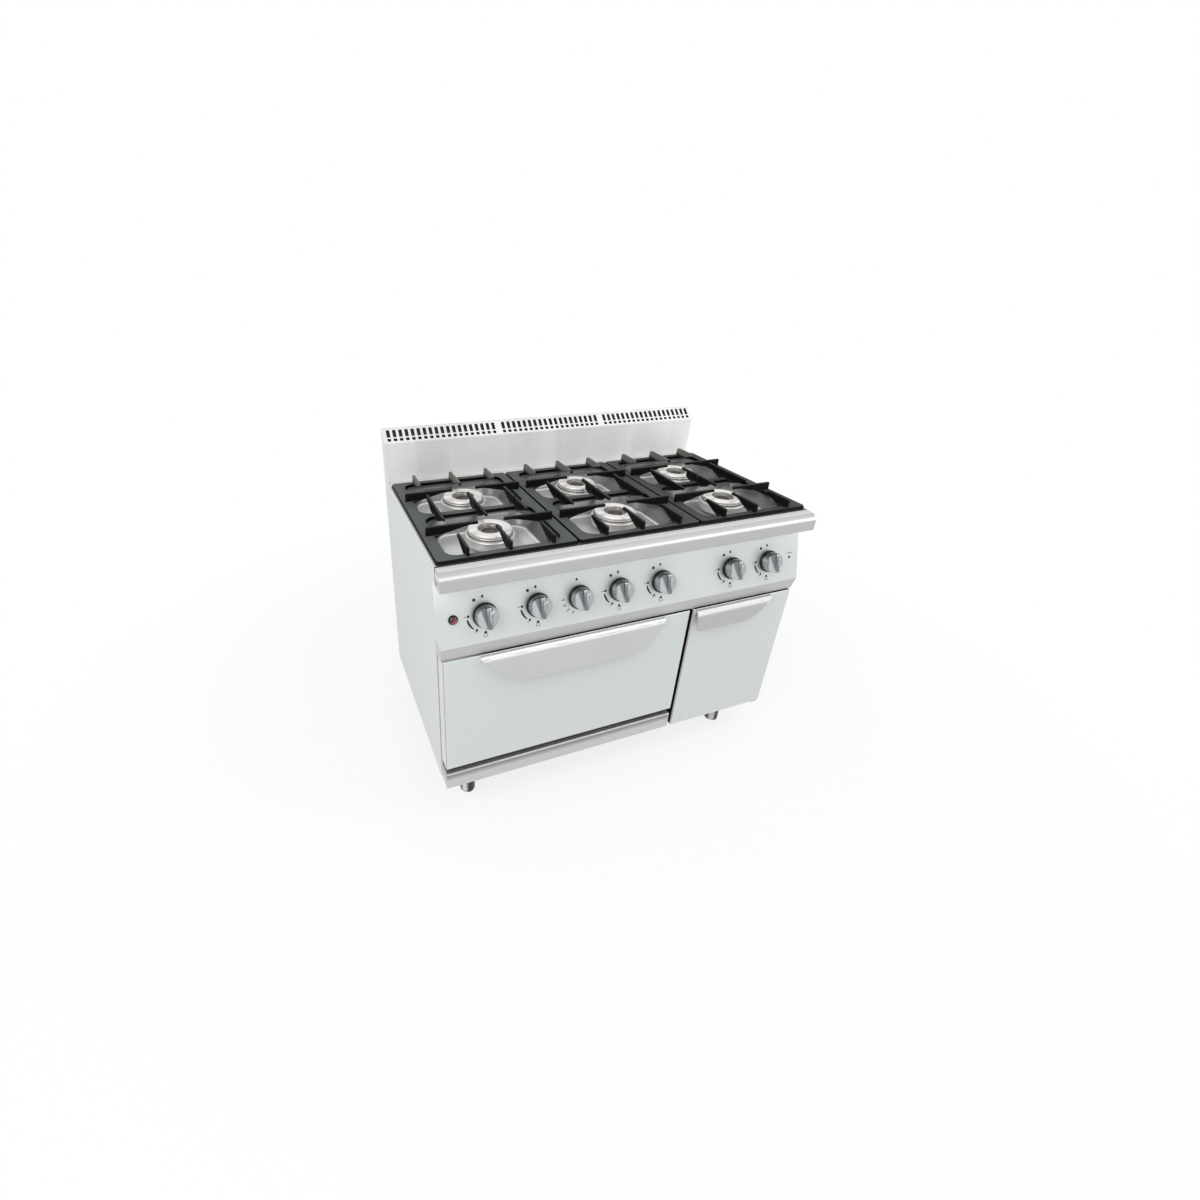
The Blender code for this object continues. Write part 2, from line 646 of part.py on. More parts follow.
# Burner bodies stand in the basins with their mixing tubes through the worktop
def burners():
    low = Z_BASIN + FIT
    rim = BURNER_RADIUS
    body = ((BURNER_BORE, low - BURNER_TUBE), (BURNER_NECK, low - BURNER_TUBE), (BURNER_NECK, low))
    body += ((rim * 0.70, low), (rim, low + 0.010), (rim, Z_BURNER - 0.004), (rim - 0.004, Z_BURNER))
    neck = CAP_BORE - FIT
    body += ((neck, Z_BURNER), (neck, Z_BURNER + SPIGOT), (BURNER_BORE, Z_BURNER + SPIGOT))
    seat = Z_BURNER + FIT
    crown = seat + CAP_THICKNESS
    cap = ((CAP_BORE, seat), (rim - 0.002, seat), (rim - 0.002, seat + 0.005), (rim - 0.006, crown - 0.002))
    cap += ((rim - 0.011, crown), (CAP_BORE + 0.004, crown), (CAP_BORE, crown - 0.003))
    for k, (x, d) in enumerate(burner_places(), 1):
        bm = bmesh.new()
        turned(bm, body, BURNER_FACETS, upright(x, d), ring=True)
        smooth(add(f"burner_body_{k}", bm, BURNER_ALLOY))
        bm = bmesh.new()
        turned(bm, cap, BURNER_FACETS, upright(x, d), ring=True)
        lid = add(f"burner_cap_{k}", bm, BURNER_ALLOY)
        pivot_at(lid, (x, d, seat))
        smooth(lid)


# Cast grates: a bordered plate with two round-cornered openings and upright pan blades
def grates():
    pitch = (WIDTH - 2 * GRATE_MARGIN + GRATE_GAP) / 3
    far = GRATE_FRONT + GRATE_LENGTH
    middle = GRATE_FRONT + GRATE_LENGTH / 2
    plate = (Z_GRATE, Z_GRATE + GRATE_PLATE)
    for k, name in enumerate(("grate_left", "grate_middle", "grate_right")):
        left = -HALF + GRATE_MARGIN + pitch * k
        right = left + pitch - GRATE_GAP
        bm = bmesh.new()
        prism_z(bm, rounded((left, right), (GRATE_FRONT, far), GRATE_OUTER_ROUND, 2), plate)
        grate = add(name, bm, CAST_IRON)
        bm = bmesh.new()
        open_x = (left + GRATE_BORDER, right - GRATE_BORDER)
        bar = GRATE_CROSSBAR / 2
        through = (plate[0] - 0.01, plate[1] + 0.01)
        for open_d in ((GRATE_FRONT + GRATE_BORDER_D, middle - bar), (middle + bar, far - GRATE_BORDER_D)):
            prism_z(bm, rounded(open_x, open_d, GRATE_CORNER), through)
        combine(grate, add(name + "_openings", bm))
        bm = bmesh.new()
        pad = GRATE_PAD
        inset = GRATE_PAD_INSET
        for x in (left + inset, right - inset - pad):
            for d in (GRATE_FRONT + inset, middle - pad / 2, far - inset - pad):
                box(bm, (x, x + pad), (d, d + pad), (Z_GRATE - GRATE_FOOT, Z_GRATE + SHEET))
        combine(grate, add(name + "_pads", bm), "UNION")
        combine(grate, blades(name + "_blades", left, right, middle), "UNION")
        pivot_at(grate, ((left + right) / 2, middle, Z_GRATE))


def blades(name, left, right, middle):
    """Upright fins from the borders and the crossbar toward both burners."""
    bm = bmesh.new()
    centre = (left + right) / 2
    top = Z_GRATE + GRATE_PLATE + BLADE_RISE
    root_z = Z_GRATE + BLADE_ROOT
    half = BLADE_THICKNESS / 2

    def fin(start, end):
        step = start + math.copysign(BLADE_HEEL, end - start)
        return ((start, root_z), (start, top), (end, top), (end, top - BLADE_TIP), (step, root_z))

    for outer, row in ((GRATE_FRONT, BURNER_ROWS[0]), (GRATE_FRONT + GRATE_LENGTH, BURNER_ROWS[1])):
        inward = math.copysign(1, row - outer)
        for start, end in ((left, centre - BLADE_CLEAR), (right, centre + BLADE_CLEAR)):
            edge = start + math.copysign(BLADE_EDGE_X, end - start)
            prism_d(bm, fin(edge, end), (row - half, row + half))
        for offset in (-BLADE_SIDE_OFFSET, 0, BLADE_SIDE_OFFSET):
            x = (centre + offset - half, centre + offset + half)
            start = outer + inward * BLADE_EDGE_D
            end = start + inward * BLADE_SIDE_LENGTH if offset else row - inward * BLADE_CLEAR
            prism_x(bm, fin(start, end), x)
            start = middle - inward * BLADE_EDGE_D
            end = start - inward * BLADE_SIDE_LENGTH if offset else row + inward * BLADE_CLEAR
            prism_x(bm, fin(start, end), x)
    return add(name, bm)


# Gas taps: a rail with seven tap bodies, their spindles and the push-and-turn knobs
def rail_place():
    """Middle of the tap rail, below the tap bodies and sunk a little into them."""
    reach = VALVE_RADIUS + MANIFOLD_RADIUS - MANIFOLD_OVERLAP
    return panel_frame(0) @ Vector((0, -reach, -RAIL_SETBACK))


def taps():
    frames = [panel_frame(x) for x in KNOB_PLACES]
    rail = rail_place()
    along = Matrix.Translation((0, rail.y, rail.z)) @ Matrix.Rotation(math.radians(90), 4, "Y")
    ends = (-INNER + 0.010, INNER - 0.012)
    bm = bmesh.new()
    r = MANIFOLD_RADIUS
    turned(bm, ((0, ends[0]), (r, ends[0]), (r, ends[1]), (0, ends[1])), RAIL_FACETS, along)
    manifold = add("gas_manifold", bm, BRASS)
    bm = bmesh.new()
    r = VALVE_RADIUS
    body = ((0, -VALVE_END), (r, -VALVE_END), (r, -VALVE_START), (0, -VALVE_START))
    for frame in frames:
        turned(bm, body, 8, frame)
    combine(manifold, add("tap_bodies", bm), "UNION")
    bm = bmesh.new()
    r = SPINDLE_RADIUS + SPINDLE_CLEARANCE
    deep = SPINDLE_DEPTH + PUSH_TRAVEL + 0.002
    for frame in frames:
        turned(bm, ((0, -deep), (r, -deep), (r, 0), (0, 0)), 10, frame)
    combine(manifold, add("tap_bores", bm))
    names = ["knob_1", "knob_2", "oven_knob", "knob_4", "knob_5", "knob_6", "knob_7"]
    for k, (name, frame) in enumerate(zip(names, frames), 1):
        knob(name, frame)
        bm = bmesh.new()
        end = KNOB_STANDOFF + SPINDLE_SOCKET - FIT
        r = SPINDLE_RADIUS
        turned(bm, ((0, -SPINDLE_DEPTH), (r, -SPINDLE_DEPTH), (r, end), (0, end)), 10, Matrix())
        spindle = add(f"tap_spindle_{k}", bm, BRASS)
        spindle.matrix_local = frame


def knob(name, frame):
    """A skirted drum whose face is scooped out on both sides of a grip bar."""
    back = KNOB_STANDOFF
    front = back + KNOB_LENGTH
    skirt = back + KNOB_SKIRT
    r = KNOB_RADIUS
    bm = bmesh.new()
    drum = ((0, back), (r, back), (r, skirt), (r - 0.003, skirt + 0.001))
    drum += ((r - 0.004, front - 0.003), (r - KNOB_FACE_INSET, front), (0, front))
    turned(bm, drum, 20, Matrix())
    body = add(name, bm, KNOB_METAL)
    bm = bmesh.new()
    for side in (-1, 1):
        across = Matrix.Translation((side * SCOOP_OFFSET, 0, front + SCOOP_RISE))
        across = across @ Matrix.Rotation(math.radians(90), 4, "X")
        turned(bm, ((0, -r), (SCOOP_RADIUS, -r), (SCOOP_RADIUS, r), (0, r)), 12, across)
    scoops = add(name + "_scoops", bm)
    scoops.matrix_local = frame
    combine(body, scoops)
    bm = bmesh.new()
    s = SPINDLE_RADIUS + SPINDLE_CLEARANCE
    deep = back + SPINDLE_SOCKET
    turned(bm, ((0, back - 0.01), (s, back - 0.01), (s, deep), (0, deep)), 10, Matrix())
    socket = add(name + "_socket", bm)
    socket.matrix_local = frame
    combine(body, socket)
    body.matrix_local = frame
    smooth(body)


def igniter_button():
    r = BUTTON_RADIUS
    inside = -SHEET - FIT
    stem = r / 2
    lip = r + 0.003
    profile = ((0, -BUTTON_STEM), (stem, -BUTTON_STEM), (stem, inside - 0.006), (lip, inside - 0.006))
    profile += ((lip, inside - 0.001), (r, inside - 0.001), (r, BUTTON_PROUD - 0.003))
    profile += ((r * 0.8, BUTTON_PROUD - 0.0005), (0, BUTTON_PROUD))
    bm = bmesh.new()
    turned(bm, profile, 16, Matrix())
    button = add("igniter_button", bm, RED_PLASTIC)
    button.matrix_local = panel_frame(BUTTON_PLACE)
    smooth(button)


def supply_pipe():
    """Straight inlet run from the tap rail's level back through the rear panel."""
    x, z = supply_place()
    bm = bmesh.new()
    along = Matrix.Translation((x, 0, z)) @ Matrix.Rotation(math.radians(-90), 4, "X")
    r = SUPPLY_RADIUS
    front = rail_place().y + MANIFOLD_RADIUS * math.cos(math.pi / RAIL_FACETS) + FIT
    back = DEPTH - SHEET / 2
    union = r + SUPPLY_UNION
    neck = back - SUPPLY_UNION_LENGTH
    profile = ((0, front), (r, front), (r, neck), (union, neck), (union, back), (0, back))
    turned(bm, profile, 12, along)
    smooth(add("gas_supply_pipe", bm, PAINTED_STEEL))


# Oven: enamelled cavity with a face flange, cradle and flue, and what stands in it
def oven():
    x, z = CAVITY_X, CAVITY_Z
    front = FLANGE_START
    bm = bmesh.new()
    box(bm, (x[0] - SHEET, x[1] + SHEET), (front, OVEN_BACK), (z[0] - SHEET, z[1] + SHEET))
    cavity = add("oven_cavity", bm, OVEN_ENAMEL)
    bm = bmesh.new()
    flange_right = OVEN_RIGHT + DOOR_PARTING / 2 - SHEET / 2 - 0.004 - FIT
    box(bm, (-INNER, flange_right), (front, front + SHEET), (Z_FRAME + FIT, Z_PANEL + CHAMFER_HEIGHT / 2))
    combine(cavity, add("cavity_flange", bm), "UNION")
    bm = bmesh.new()
    for d in (front + BASE_END / 2, DEPTH - BASE_END + SHEET):
        box(bm, (x[0] + 0.05, x[1] - 0.05), (d, d + CRADLE), (Z_FRAME + FIT, z[0] - SHEET / 2))
    flue = flue_span()
    grow = SHEET
    flue_x = (flue[0][0] - grow, flue[0][1] + grow)
    flue_d = (OVEN_BACK - SHEET / 2, flue[1][1] + grow)
    box(bm, flue_x, flue_d, (z[1] - 0.060, Z_RIM - FIT - FLUE_STOP))
    combine(cavity, add("cavity_cradle_and_flue", bm), "UNION")
    bm = bmesh.new()
    box(bm, x, (front - 0.01, OVEN_BACK - SHEET), z)
    combine(cavity, add("cavity_hollow", bm))
    bm = bmesh.new()
    box(bm, flue[0], (OVEN_BACK + SHEET, flue[1][1]), (z[1] - 0.058, Z_RIM + 0.01))
    combine(cavity, add("flue_hollow", bm))
    bm = bmesh.new()
    port_x = (flue[0][0] + 0.010, flue[0][1] - 0.010)
    box(bm, port_x, (OVEN_BACK - 2 * SHEET, OVEN_BACK + 2 * SHEET), (z[1] - 0.050, z[1] - 0.010))
    combine(cavity, add("flue_port", bm))
    bm = bmesh.new()
    for near, far in ((x[0] - SHEET / 2, x[0] + LEDGE), (x[1] - LEDGE, x[1] + SHEET / 2)):
        box(bm, (near, far), (front + 0.02, OVEN_BACK - SHEET / 2), (Z_SOLE - SHEET, Z_SOLE))
    combine(cavity, add("sole_ledges", bm), "UNION")
    oven_gasket(x, z, front)
    sole_plate(x)
    oven_burner(x, z)
    racks_and_shelf(x)


def oven_gasket(x, z, front):
    w = GASKET_WIDTH
    depth = (DOOR_THICKNESS + FIT, front - FIT)
    bm = bmesh.new()
    prism_d(bm, rounded((x[0] - w, x[1] + w), (z[0] - w, z[1] + w), 0.012, 3), depth)
    gasket = add("oven_gasket", bm, SEAL_ROPE)
    bm = bmesh.new()
    prism_d(bm, rounded(x, z, 0.004, 2), (depth[0] - 0.01, depth[1] + 0.01))
    combine(gasket, add("gasket_mouth", bm))


def sole_plate(x):
    low = Z_SOLE + FIT
    bm = bmesh.new()
    depth = (FLANGE_START + 0.020, OVEN_BACK - SHEET - FIT)
    box(bm, (x[0] + FIT, x[1] - FIT), depth, (low, low + SOLE_SHEET))
    plate = add("oven_sole_plate", bm, OVEN_ENAMEL)
    bm = bmesh.new()
    pitch = (depth[1] - depth[0]) / SOLE_SLOTS
    through = (low - SOLE_SHEET, low + 2 * SOLE_SHEET)
    for side in (x[0] + SOLE_SLOT_INSET, x[1] - SOLE_SLOT_INSET - SOLE_SLOT_WIDTH):
        for k in range(SOLE_SLOTS):
            d = depth[0] + pitch * k + SOLE_SLOT_BRIDGE / 2
            box(bm, (side, side + SOLE_SLOT_WIDTH), (d, d + pitch - SOLE_SLOT_BRIDGE), through)
    combine(plate, add("sole_slots", bm))


def oven_burner(x, z):
    """A U-shaped burner tube lying on the cavity floor."""
    r = OVEN_BURNER_RADIUS
    centre = sum(x) / 2
    bend = OVEN_BURNER_BEND
    back = OVEN_BACK - OVEN_BURNER_BACK
    front = FLANGE_START + OVEN_BURNER_FRONT + bend
    route = [(centre - bend, back)] + arc((centre, front), bend, 180, 360, 8) + [(centre + bend, back)]
    curve = bpy.data.curves.new("oven_burner", "CURVE")
    curve.dimensions = "3D"
    curve.bevel_depth = r
    curve.bevel_resolution = 2
    curve.use_fill_caps = True
    line = curve.splines.new("POLY")
    line.points.add(len(route) - 1)
    for point, (u, v) in zip(line.points, route):
        point.co = (u, v, z[0] + r + FIT, 1)
    curve.materials.append(OVEN_ENAMEL)
    obj = bpy.data.objects.new("oven_burner", curve)
    bpy.context.scene.collection.objects.link(obj)
    obj.parent = root


def racks_and_shelf(x):
    low = Z_SOLE + SOLE_SHEET + 2 * FIT
    levels = [low + SHELF_FIRST + SHELF_PITCH * k for k in range(SHELF_LEVELS)]
    high = levels[-1] + 0.030
    depth = (FLANGE_START + 0.044, OVEN_BACK - 0.040)
    for name, wall, way in (("rack_left", x[0] + FIT, 1), ("rack_right", x[1] - FIT, -1)):
        skin = wall + way * SHEET
        ledge = wall + way * LEDGE
        comb = [(wall, low), (skin, low)]
        for level in levels:
            comb += [(skin, level), (ledge, level), (ledge, level + SHEET), (skin, level + SHEET)]
        comb += [(skin, high), (wall, high)]
        bm = bmesh.new()
        prism_d(bm, comb, depth)
        add(name, bm, WIRE_CHROME)
    seat = levels[SHELF_USED] + SHEET + FIT
    bm = bmesh.new()
    span = (x[0] + SHEET + 0.003, x[1] - SHEET - 0.003)
    shelf_d = (FLANGE_START + 0.034, OVEN_BACK - 0.040)
    box(bm, span, shelf_d, (seat, seat + SHELF_THICKNESS))
    shelf = add("oven_shelf", bm, WIRE_CHROME)
    bm = bmesh.new()
    pitch = (span[1] - span[0] - SHELF_BAR) / SHELF_BARS
    cross = (shelf_d[0] + SHELF_BAR, sum(shelf_d) / 2 - SHELF_BAR / 2)
    for k in range(SHELF_BARS):
        left = span[0] + SHELF_BAR + pitch * k
        for d in (cross, (cross[1] + SHELF_BAR, shelf_d[1] - SHELF_BAR)):
            box(bm, (left, left + pitch - SHELF_BAR), d, (seat - 0.01, seat + 0.02))
    combine(shelf, add("shelf_gaps", bm))
    pivot_at(shelf, (sum(span) / 2, shelf_d[0], seat))


# Drop-down oven door: pan, liner with hinge cheeks, pull; and the two fixed hinge arms
def oven_pivot():
    return OVEN_PIVOT_SETBACK, Z_DOOR + OVEN_PIVOT_RISE


def hinge_places():
    return OVEN_LEFT + HINGE_INSET, OVEN_RIGHT - HINGE_INSET


def oven_door():
    d, z = oven_pivot()
    pivot = (sum(hinge_places()) / 2, d, z)
    liner_front = DOOR_THICKNESS - SHEET
    pan = door_pan("oven_door", (OVEN_LEFT, OVEN_RIGHT), (0, liner_front - FIT), (Z_DOOR, Z_DOOR_TOP))
    bm = bmesh.new()
    half = CHEEK_SLOT / 2
    for x in hinge_places():
        box(bm, (x - half, x + half), (0.0035, DOOR_THICKNESS), (Z_DOOR - 0.01, Z_DOOR + 0.01))
    combine(pan, add("door_hinge_slots", bm))
    bm = bmesh.new()
    edge = SHEET
    span = (OVEN_LEFT + edge, OVEN_RIGHT - edge)
    box(bm, span, (liner_front, DOOR_THICKNESS), (Z_DOOR + edge, Z_DOOR_TOP - edge))
    liner = add("oven_door_liner", bm, OVEN_ENAMEL)
    cheek_z = (Z_DOOR + SHEET + FIT, Z_DOOR + 0.023)
    bm = bmesh.new()
    for x in hinge_places():
        for side in (x - half - CHEEK_SHEET, x + half):
            box(bm, (side, side + CHEEK_SHEET), (SHEET + FIT, liner_front + SHEET / 2), cheek_z)
    combine(liner, add("hinge_cheeks", bm), "UNION")
    bm = bmesh.new()
    across = Matrix.Translation((0, d, z)) @ Matrix.Rotation(math.radians(90), 4, "Y")
    r = PIVOT_PIN_RADIUS
    for x in hinge_places():
        ends = (x - half - CHEEK_SHEET / 2, x + half + CHEEK_SHEET / 2)
        turned(bm, ((0, ends[0]), (r, ends[0]), (r, ends[1]), (0, ends[1])), 12, across)
    combine(liner, add("hinge_pins", bm), "UNION")
    bm = bmesh.new()
    slot_d = (liner_front - 0.005, DOOR_THICKNESS + 0.01)
    for x in hinge_places():
        box(bm, (x - half, x + half), slot_d, (Z_DOOR - 0.01, cheek_z[1] - SHEET / 2))
    combine(liner, add("liner_slots", bm))
    centre = (OVEN_LEFT + OVEN_RIGHT) / 2
    corner = HANDLE_CORNER
    low = Z_DOOR_TOP - HANDLE_DROP
    top, foot = HANDLE_TOP_WIDTH / 2, HANDLE_LOW_WIDTH / 2
    outline = trapezoid((centre - top, centre + top), (centre - foot, centre + foot), low, corner)
    pull = handle("oven_door_handle", outline, HANDLE_OUT, HANDLE_DROP)
    for piece in (pan, liner, pull):
        pivot_at(piece, pivot)
    hinge_arms()


def hinge_arms():
    """Fixed arms reach forward from the oven face to an eye round each door pin."""
    d, z = oven_pivot()
    across = Matrix.Translation((0, d, z)) @ Matrix.Rotation(math.radians(90), 4, "Y")
    eye = OVEN_PIVOT_SETBACK - SHEET - 0.0005
    bore = PIVOT_PIN_RADIUS + FIT
    for name, x in zip(("oven_hinge_arm_left", "oven_hinge_arm_right"), hinge_places()):
        ends = (x - 0.004, x + 0.004)
        back = FLANGE_START - FIT
        bm = bmesh.new()
        box(bm, ends, (d + 0.002, back - SHEET / 2), (z - 0.005, z + 0.005))
        arm = add(name, bm, PAINTED_STEEL)
        bm = bmesh.new()
        box(bm, (x - 0.012, x + 0.012), (back - SHEET, back), (Z_KICK + 0.005, z + 0.0105))
        combine(arm, add(name + "_plate", bm), "UNION")
        bm = bmesh.new()
        turned(bm, ((0, ends[0]), (eye, ends[0]), (eye, ends[1]), (0, ends[1])), 16, across)
        combine(arm, add(name + "_eye", bm), "UNION")
        bm = bmesh.new()
        low, high = ends[0] - 0.01, ends[1] + 0.01
        turned(bm, ((0, low), (bore, low), (bore, high), (0, high)), 12, across)
        combine(arm, add(name + "_bore", bm))


def door_pan(name, x, d, z):
    """A pan open behind, its front edges rounded over."""
    pan = tray(name, SATIN_STEEL, x, d, z, "+d")
    bm = bmesh.new()
    bm.from_mesh(pan.data)
    edges = [e for e in bm.edges if all(abs(v.co.y - d[0]) < FIT for v in e.verts)]
    fold = min(DOOR_ROUND, 2 * SHEET)
    bmesh.ops.bevel(bm, geom=edges, offset=fold, segments=2, profile=ROUND_PROFILE, affect="EDGES")
    bm.to_mesh(pan.data)
    bm.free()
    return pan


def trapezoid(top, foot, low, corner):
    """A plate outline in (x, z), straight at the top, drawn in below with rounded low corners."""
    high = Z_DOOR_TOP + 0.01
    shoulder = Z_DOOR_TOP - 0.008
    points = [(top[1], shoulder), (top[1], high), (top[0], high), (top[0], shoulder)]
    points += blend((top[0], shoulder), (foot[0], low), (foot[1], low), corner)
    points += blend((foot[0], low), (foot[1], low), (top[1], shoulder), corner)
    return points


def blend(before, at, after, reach, steps=5):
    """A rounded corner: a quadratic curve that leaves and meets its two sides at one reach."""
    corner = Vector(at)
    start = corner + (Vector(before) - corner).normalized() * reach
    end = corner + (Vector(after) - corner).normalized() * reach
    made = []
    for k in range(steps + 1):
        t = k / steps
        made.append(tuple(start * (1 - t) ** 2 + corner * 2 * t * (1 - t) + end * t**2))
    return made


def handle(name, outline, out, drop):
    """A sheet folded out over the door's face: back leg, top, round bend and a flared grip plate."""
    back = -FIT
    top = Z_DOOR_TOP - 0.001
    bend = 0.006
    centre = (-HANDLE_TOP_OUT + bend, top - bend)
    path = [(-out, Z_DOOR_TOP - drop)]
    path += arc(centre, bend, 170, 90, 4)
    path += [(back, top), (back, top - 0.022)]
    xs = [x for x, z in outline]
    bm = bmesh.new()
    prism_x(bm, strip(path, -SHEET), (min(xs) - 0.01, max(xs) + 0.01))
    pull = add(name, bm, BRUSHED_STEEL)
    bm = bmesh.new()
    prism_d(bm, outline, (-out - 0.02, 0.02))
    combine(pull, add(name + "_outline", bm), "INTERSECT")
    return pull


# Side-hung cupboard door
def cupboard_door():
    x, d = cupboard_pivot()
    depth = (0, DOOR_THICKNESS)
    pan = door_pan("cupboard_door", (CUPBOARD_LEFT, CUPBOARD_RIGHT), depth, (Z_BASE, Z_DOOR_TOP))
    bm = bmesh.new()
    r = PIVOT_PIN_RADIUS + FIT
    for z in (Z_BASE, Z_DOOR_TOP):
        turned(bm, ((0, z - 0.01), (r, z - 0.01), (r, z + 0.01), (0, z + 0.01)), 12, upright(x, d))
    combine(pan, add("cupboard_pin_holes", bm))
    left = CUPBOARD_LEFT + CUPBOARD_HANDLE_INSET
    top = (left, left + CUPBOARD_HANDLE_TOP_WIDTH)
    foot = (left, left + CUPBOARD_HANDLE_LOW_WIDTH)
    low = Z_DOOR_TOP - CUPBOARD_HANDLE_DROP
    high, shoulder = Z_DOOR_TOP + 0.01, Z_DOOR_TOP - 0.008
    outline = [(top[1], shoulder), (top[1], high), (top[0], high)]
    outline += blend((top[0], high), (foot[0], low), (foot[1], low), 0.006, 2)
    outline += blend((foot[0], low), (foot[1], low), (top[1], shoulder), HANDLE_CORNER * 0.7)
    pull = handle("cupboard_door_handle", outline, CUPBOARD_HANDLE_OUT, CUPBOARD_HANDLE_DROP)
    for piece in (pan, pull):
        pivot_at(piece, (x, d, Z_BASE))


base_frame()
feet()
casing()
control_panel()
worktop()
flue_upstand()
burners()
grates()
taps()
igniter_button()
supply_pipe()
oven()
oven_door()
cupboard_door()
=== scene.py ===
"""Looks of the commercial gas range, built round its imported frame.

Metres, +Z up, front towards -Y. Sections follow the range as it is put together, from the feet up.
Depths (d) run back from the door face, as in the part's source.
"""

import math

import bmesh
import bpy
from mathutils import Matrix, Vector


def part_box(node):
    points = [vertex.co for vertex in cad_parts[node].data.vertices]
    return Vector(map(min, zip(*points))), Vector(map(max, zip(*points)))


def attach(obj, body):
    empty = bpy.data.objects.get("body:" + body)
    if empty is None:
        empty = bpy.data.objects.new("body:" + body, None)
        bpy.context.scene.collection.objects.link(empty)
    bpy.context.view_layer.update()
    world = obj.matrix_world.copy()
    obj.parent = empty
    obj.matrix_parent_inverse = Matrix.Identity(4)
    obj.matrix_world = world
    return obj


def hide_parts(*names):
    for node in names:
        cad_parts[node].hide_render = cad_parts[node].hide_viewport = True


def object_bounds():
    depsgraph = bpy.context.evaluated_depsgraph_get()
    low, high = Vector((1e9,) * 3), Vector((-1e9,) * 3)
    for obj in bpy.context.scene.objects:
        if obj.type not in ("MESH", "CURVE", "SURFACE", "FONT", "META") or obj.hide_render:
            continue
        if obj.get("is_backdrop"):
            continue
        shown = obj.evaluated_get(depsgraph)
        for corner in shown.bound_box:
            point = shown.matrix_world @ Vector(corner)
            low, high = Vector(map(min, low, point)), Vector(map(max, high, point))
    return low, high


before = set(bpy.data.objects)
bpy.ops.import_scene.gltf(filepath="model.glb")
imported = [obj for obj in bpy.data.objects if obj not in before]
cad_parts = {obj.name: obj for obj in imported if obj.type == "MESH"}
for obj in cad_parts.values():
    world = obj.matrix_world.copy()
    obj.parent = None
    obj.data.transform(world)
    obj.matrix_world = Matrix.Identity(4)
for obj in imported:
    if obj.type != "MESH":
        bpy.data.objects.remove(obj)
cad_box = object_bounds()


# Base frame and legs: welded, dark painted steel members that carry the whole range.
# A bright steel tube stands under each corner; here each tube gets a finer sleeve.
class Signal:
    """One socket of a node tree. Arithmetic on it adds Math nodes to that tree."""

    def __init__(self, tree, socket):
        self.tree = tree
        self.socket = socket

    def node(self, kind, settings=None, sockets=None, output=0):
        """Any other node: its settings first, then values or links for its sockets."""
        made = self.tree.nodes.new(kind)
        for name, value in (settings or {}).items():
            setattr(made, name, value)
        for key, value in (sockets or {}).items():
            if isinstance(value, Signal):
                self.tree.links.new(value.socket, made.inputs[key])
            else:
                made.inputs[key].default_value = value
        return Signal(self.tree, made.outputs[output]) if len(made.outputs) else None

    def maths(self, operation, first, second):
        return self.node("ShaderNodeMath", {"operation": operation}, {0: first, 1: second})

    def __add__(self, other):
        return self.maths("ADD", self, other)

    def __radd__(self, other):
        return self.maths("ADD", other, self)

    def __sub__(self, other):
        return self.maths("SUBTRACT", self, other)

    def __rsub__(self, other):
        return self.maths("SUBTRACT", other, self)

    def __mul__(self, other):
        return self.maths("MULTIPLY", self, other)

    def __rmul__(self, other):
        return self.maths("MULTIPLY", other, self)

    def between(self, low, high):
        """The colour that this factor picks between two."""
        return self.node("ShaderNodeMix", {"data_type": "RGBA"}, {0: self, 6: low, 7: high}, 2)

    def noise(self, scale, stretch=(1, 1, 1), detail=3):
        spread = self.node("ShaderNodeMapping", {}, {"Vector": self, "Scale": stretch})
        sockets = {"Vector": spread, "Scale": scale, "Detail": detail}
        return self.node("ShaderNodeTexNoise", {}, sockets)

    def streaks(self, stretch):
        """Fine tool lines, drawn out along one way."""
        return self.noise(1, stretch, 2)

    def step(self, low, high):
        """0 below low, 1 above high, and smooth between."""
        span = {"Value": self, "From Min": low, "From Max": high}
        return self.node("ShaderNodeMapRange", {"interpolation_type": "SMOOTHSTEP"}, span)

    def band(self, rise, fall):
        """1 between a rising and a falling span, 0 outside them."""
        return self.step(*rise) * (1 - self.step(*fall))

    def axis(self, index):
        return self.node("ShaderNodeSeparateXYZ", {}, {"Vector": self}, index)

    def feed(self, socket):
        self.tree.links.new(self.socket, self.tree.nodes["Principled BSDF"].inputs[socket])

    def bump(self, strength, distance):
        height = {"Strength": strength, "Distance": distance, "Height": self}
        self.node("ShaderNodeBump", {}, height).feed("Normal")


def finish(name, plain):
    """A new finish with its plain values set, and the Object coordinates to build it on."""
    made = bpy.data.materials.new(name)
    made.use_nodes = True
    tree = made.node_tree
    for socket, value in plain.items():
        tree.nodes["Principled BSDF"].inputs[socket].default_value = value
    return made, Signal(tree, tree.nodes.new("ShaderNodeTexCoord").outputs["Object"])


def shade(colour, share):
    return (*[c * share for c in colour], 1)


def painted(name, colour):
    """Sprayed paint on steel: a slight orange peel and rubbed patches."""
    made, place = finish(name, {"Metallic": 0.2})
    rub = place.noise(14, detail=4)
    rub.between(shade(colour, 0.8), shade(colour, 1.2)).feed("Base Color")
    (0.45 + rub * 0.2).feed("Roughness")
    place.noise(650, detail=1).bump(0.25, 0.0003)
    return made


def brushed(name, colour, roughness, grain, metallic, stain=0.07):
    """Ground sheet steel: fine lines along one way, faint clouds and a soft sheen."""
    made, place = finish(name, {"Metallic": metallic})
    lines = place.streaks(grain)
    clouds = place.noise(4.5, detail=3)
    tone = lines * 0.4 + clouds * 0.6
    tone.between(shade(colour, 1 - stain), shade(colour, 1 + stain)).feed("Base Color")
    (roughness - 0.07 + lines * 0.08 + clouds * 0.06).feed("Roughness")
    lines.bump(0.04, 0.0002)
    return made


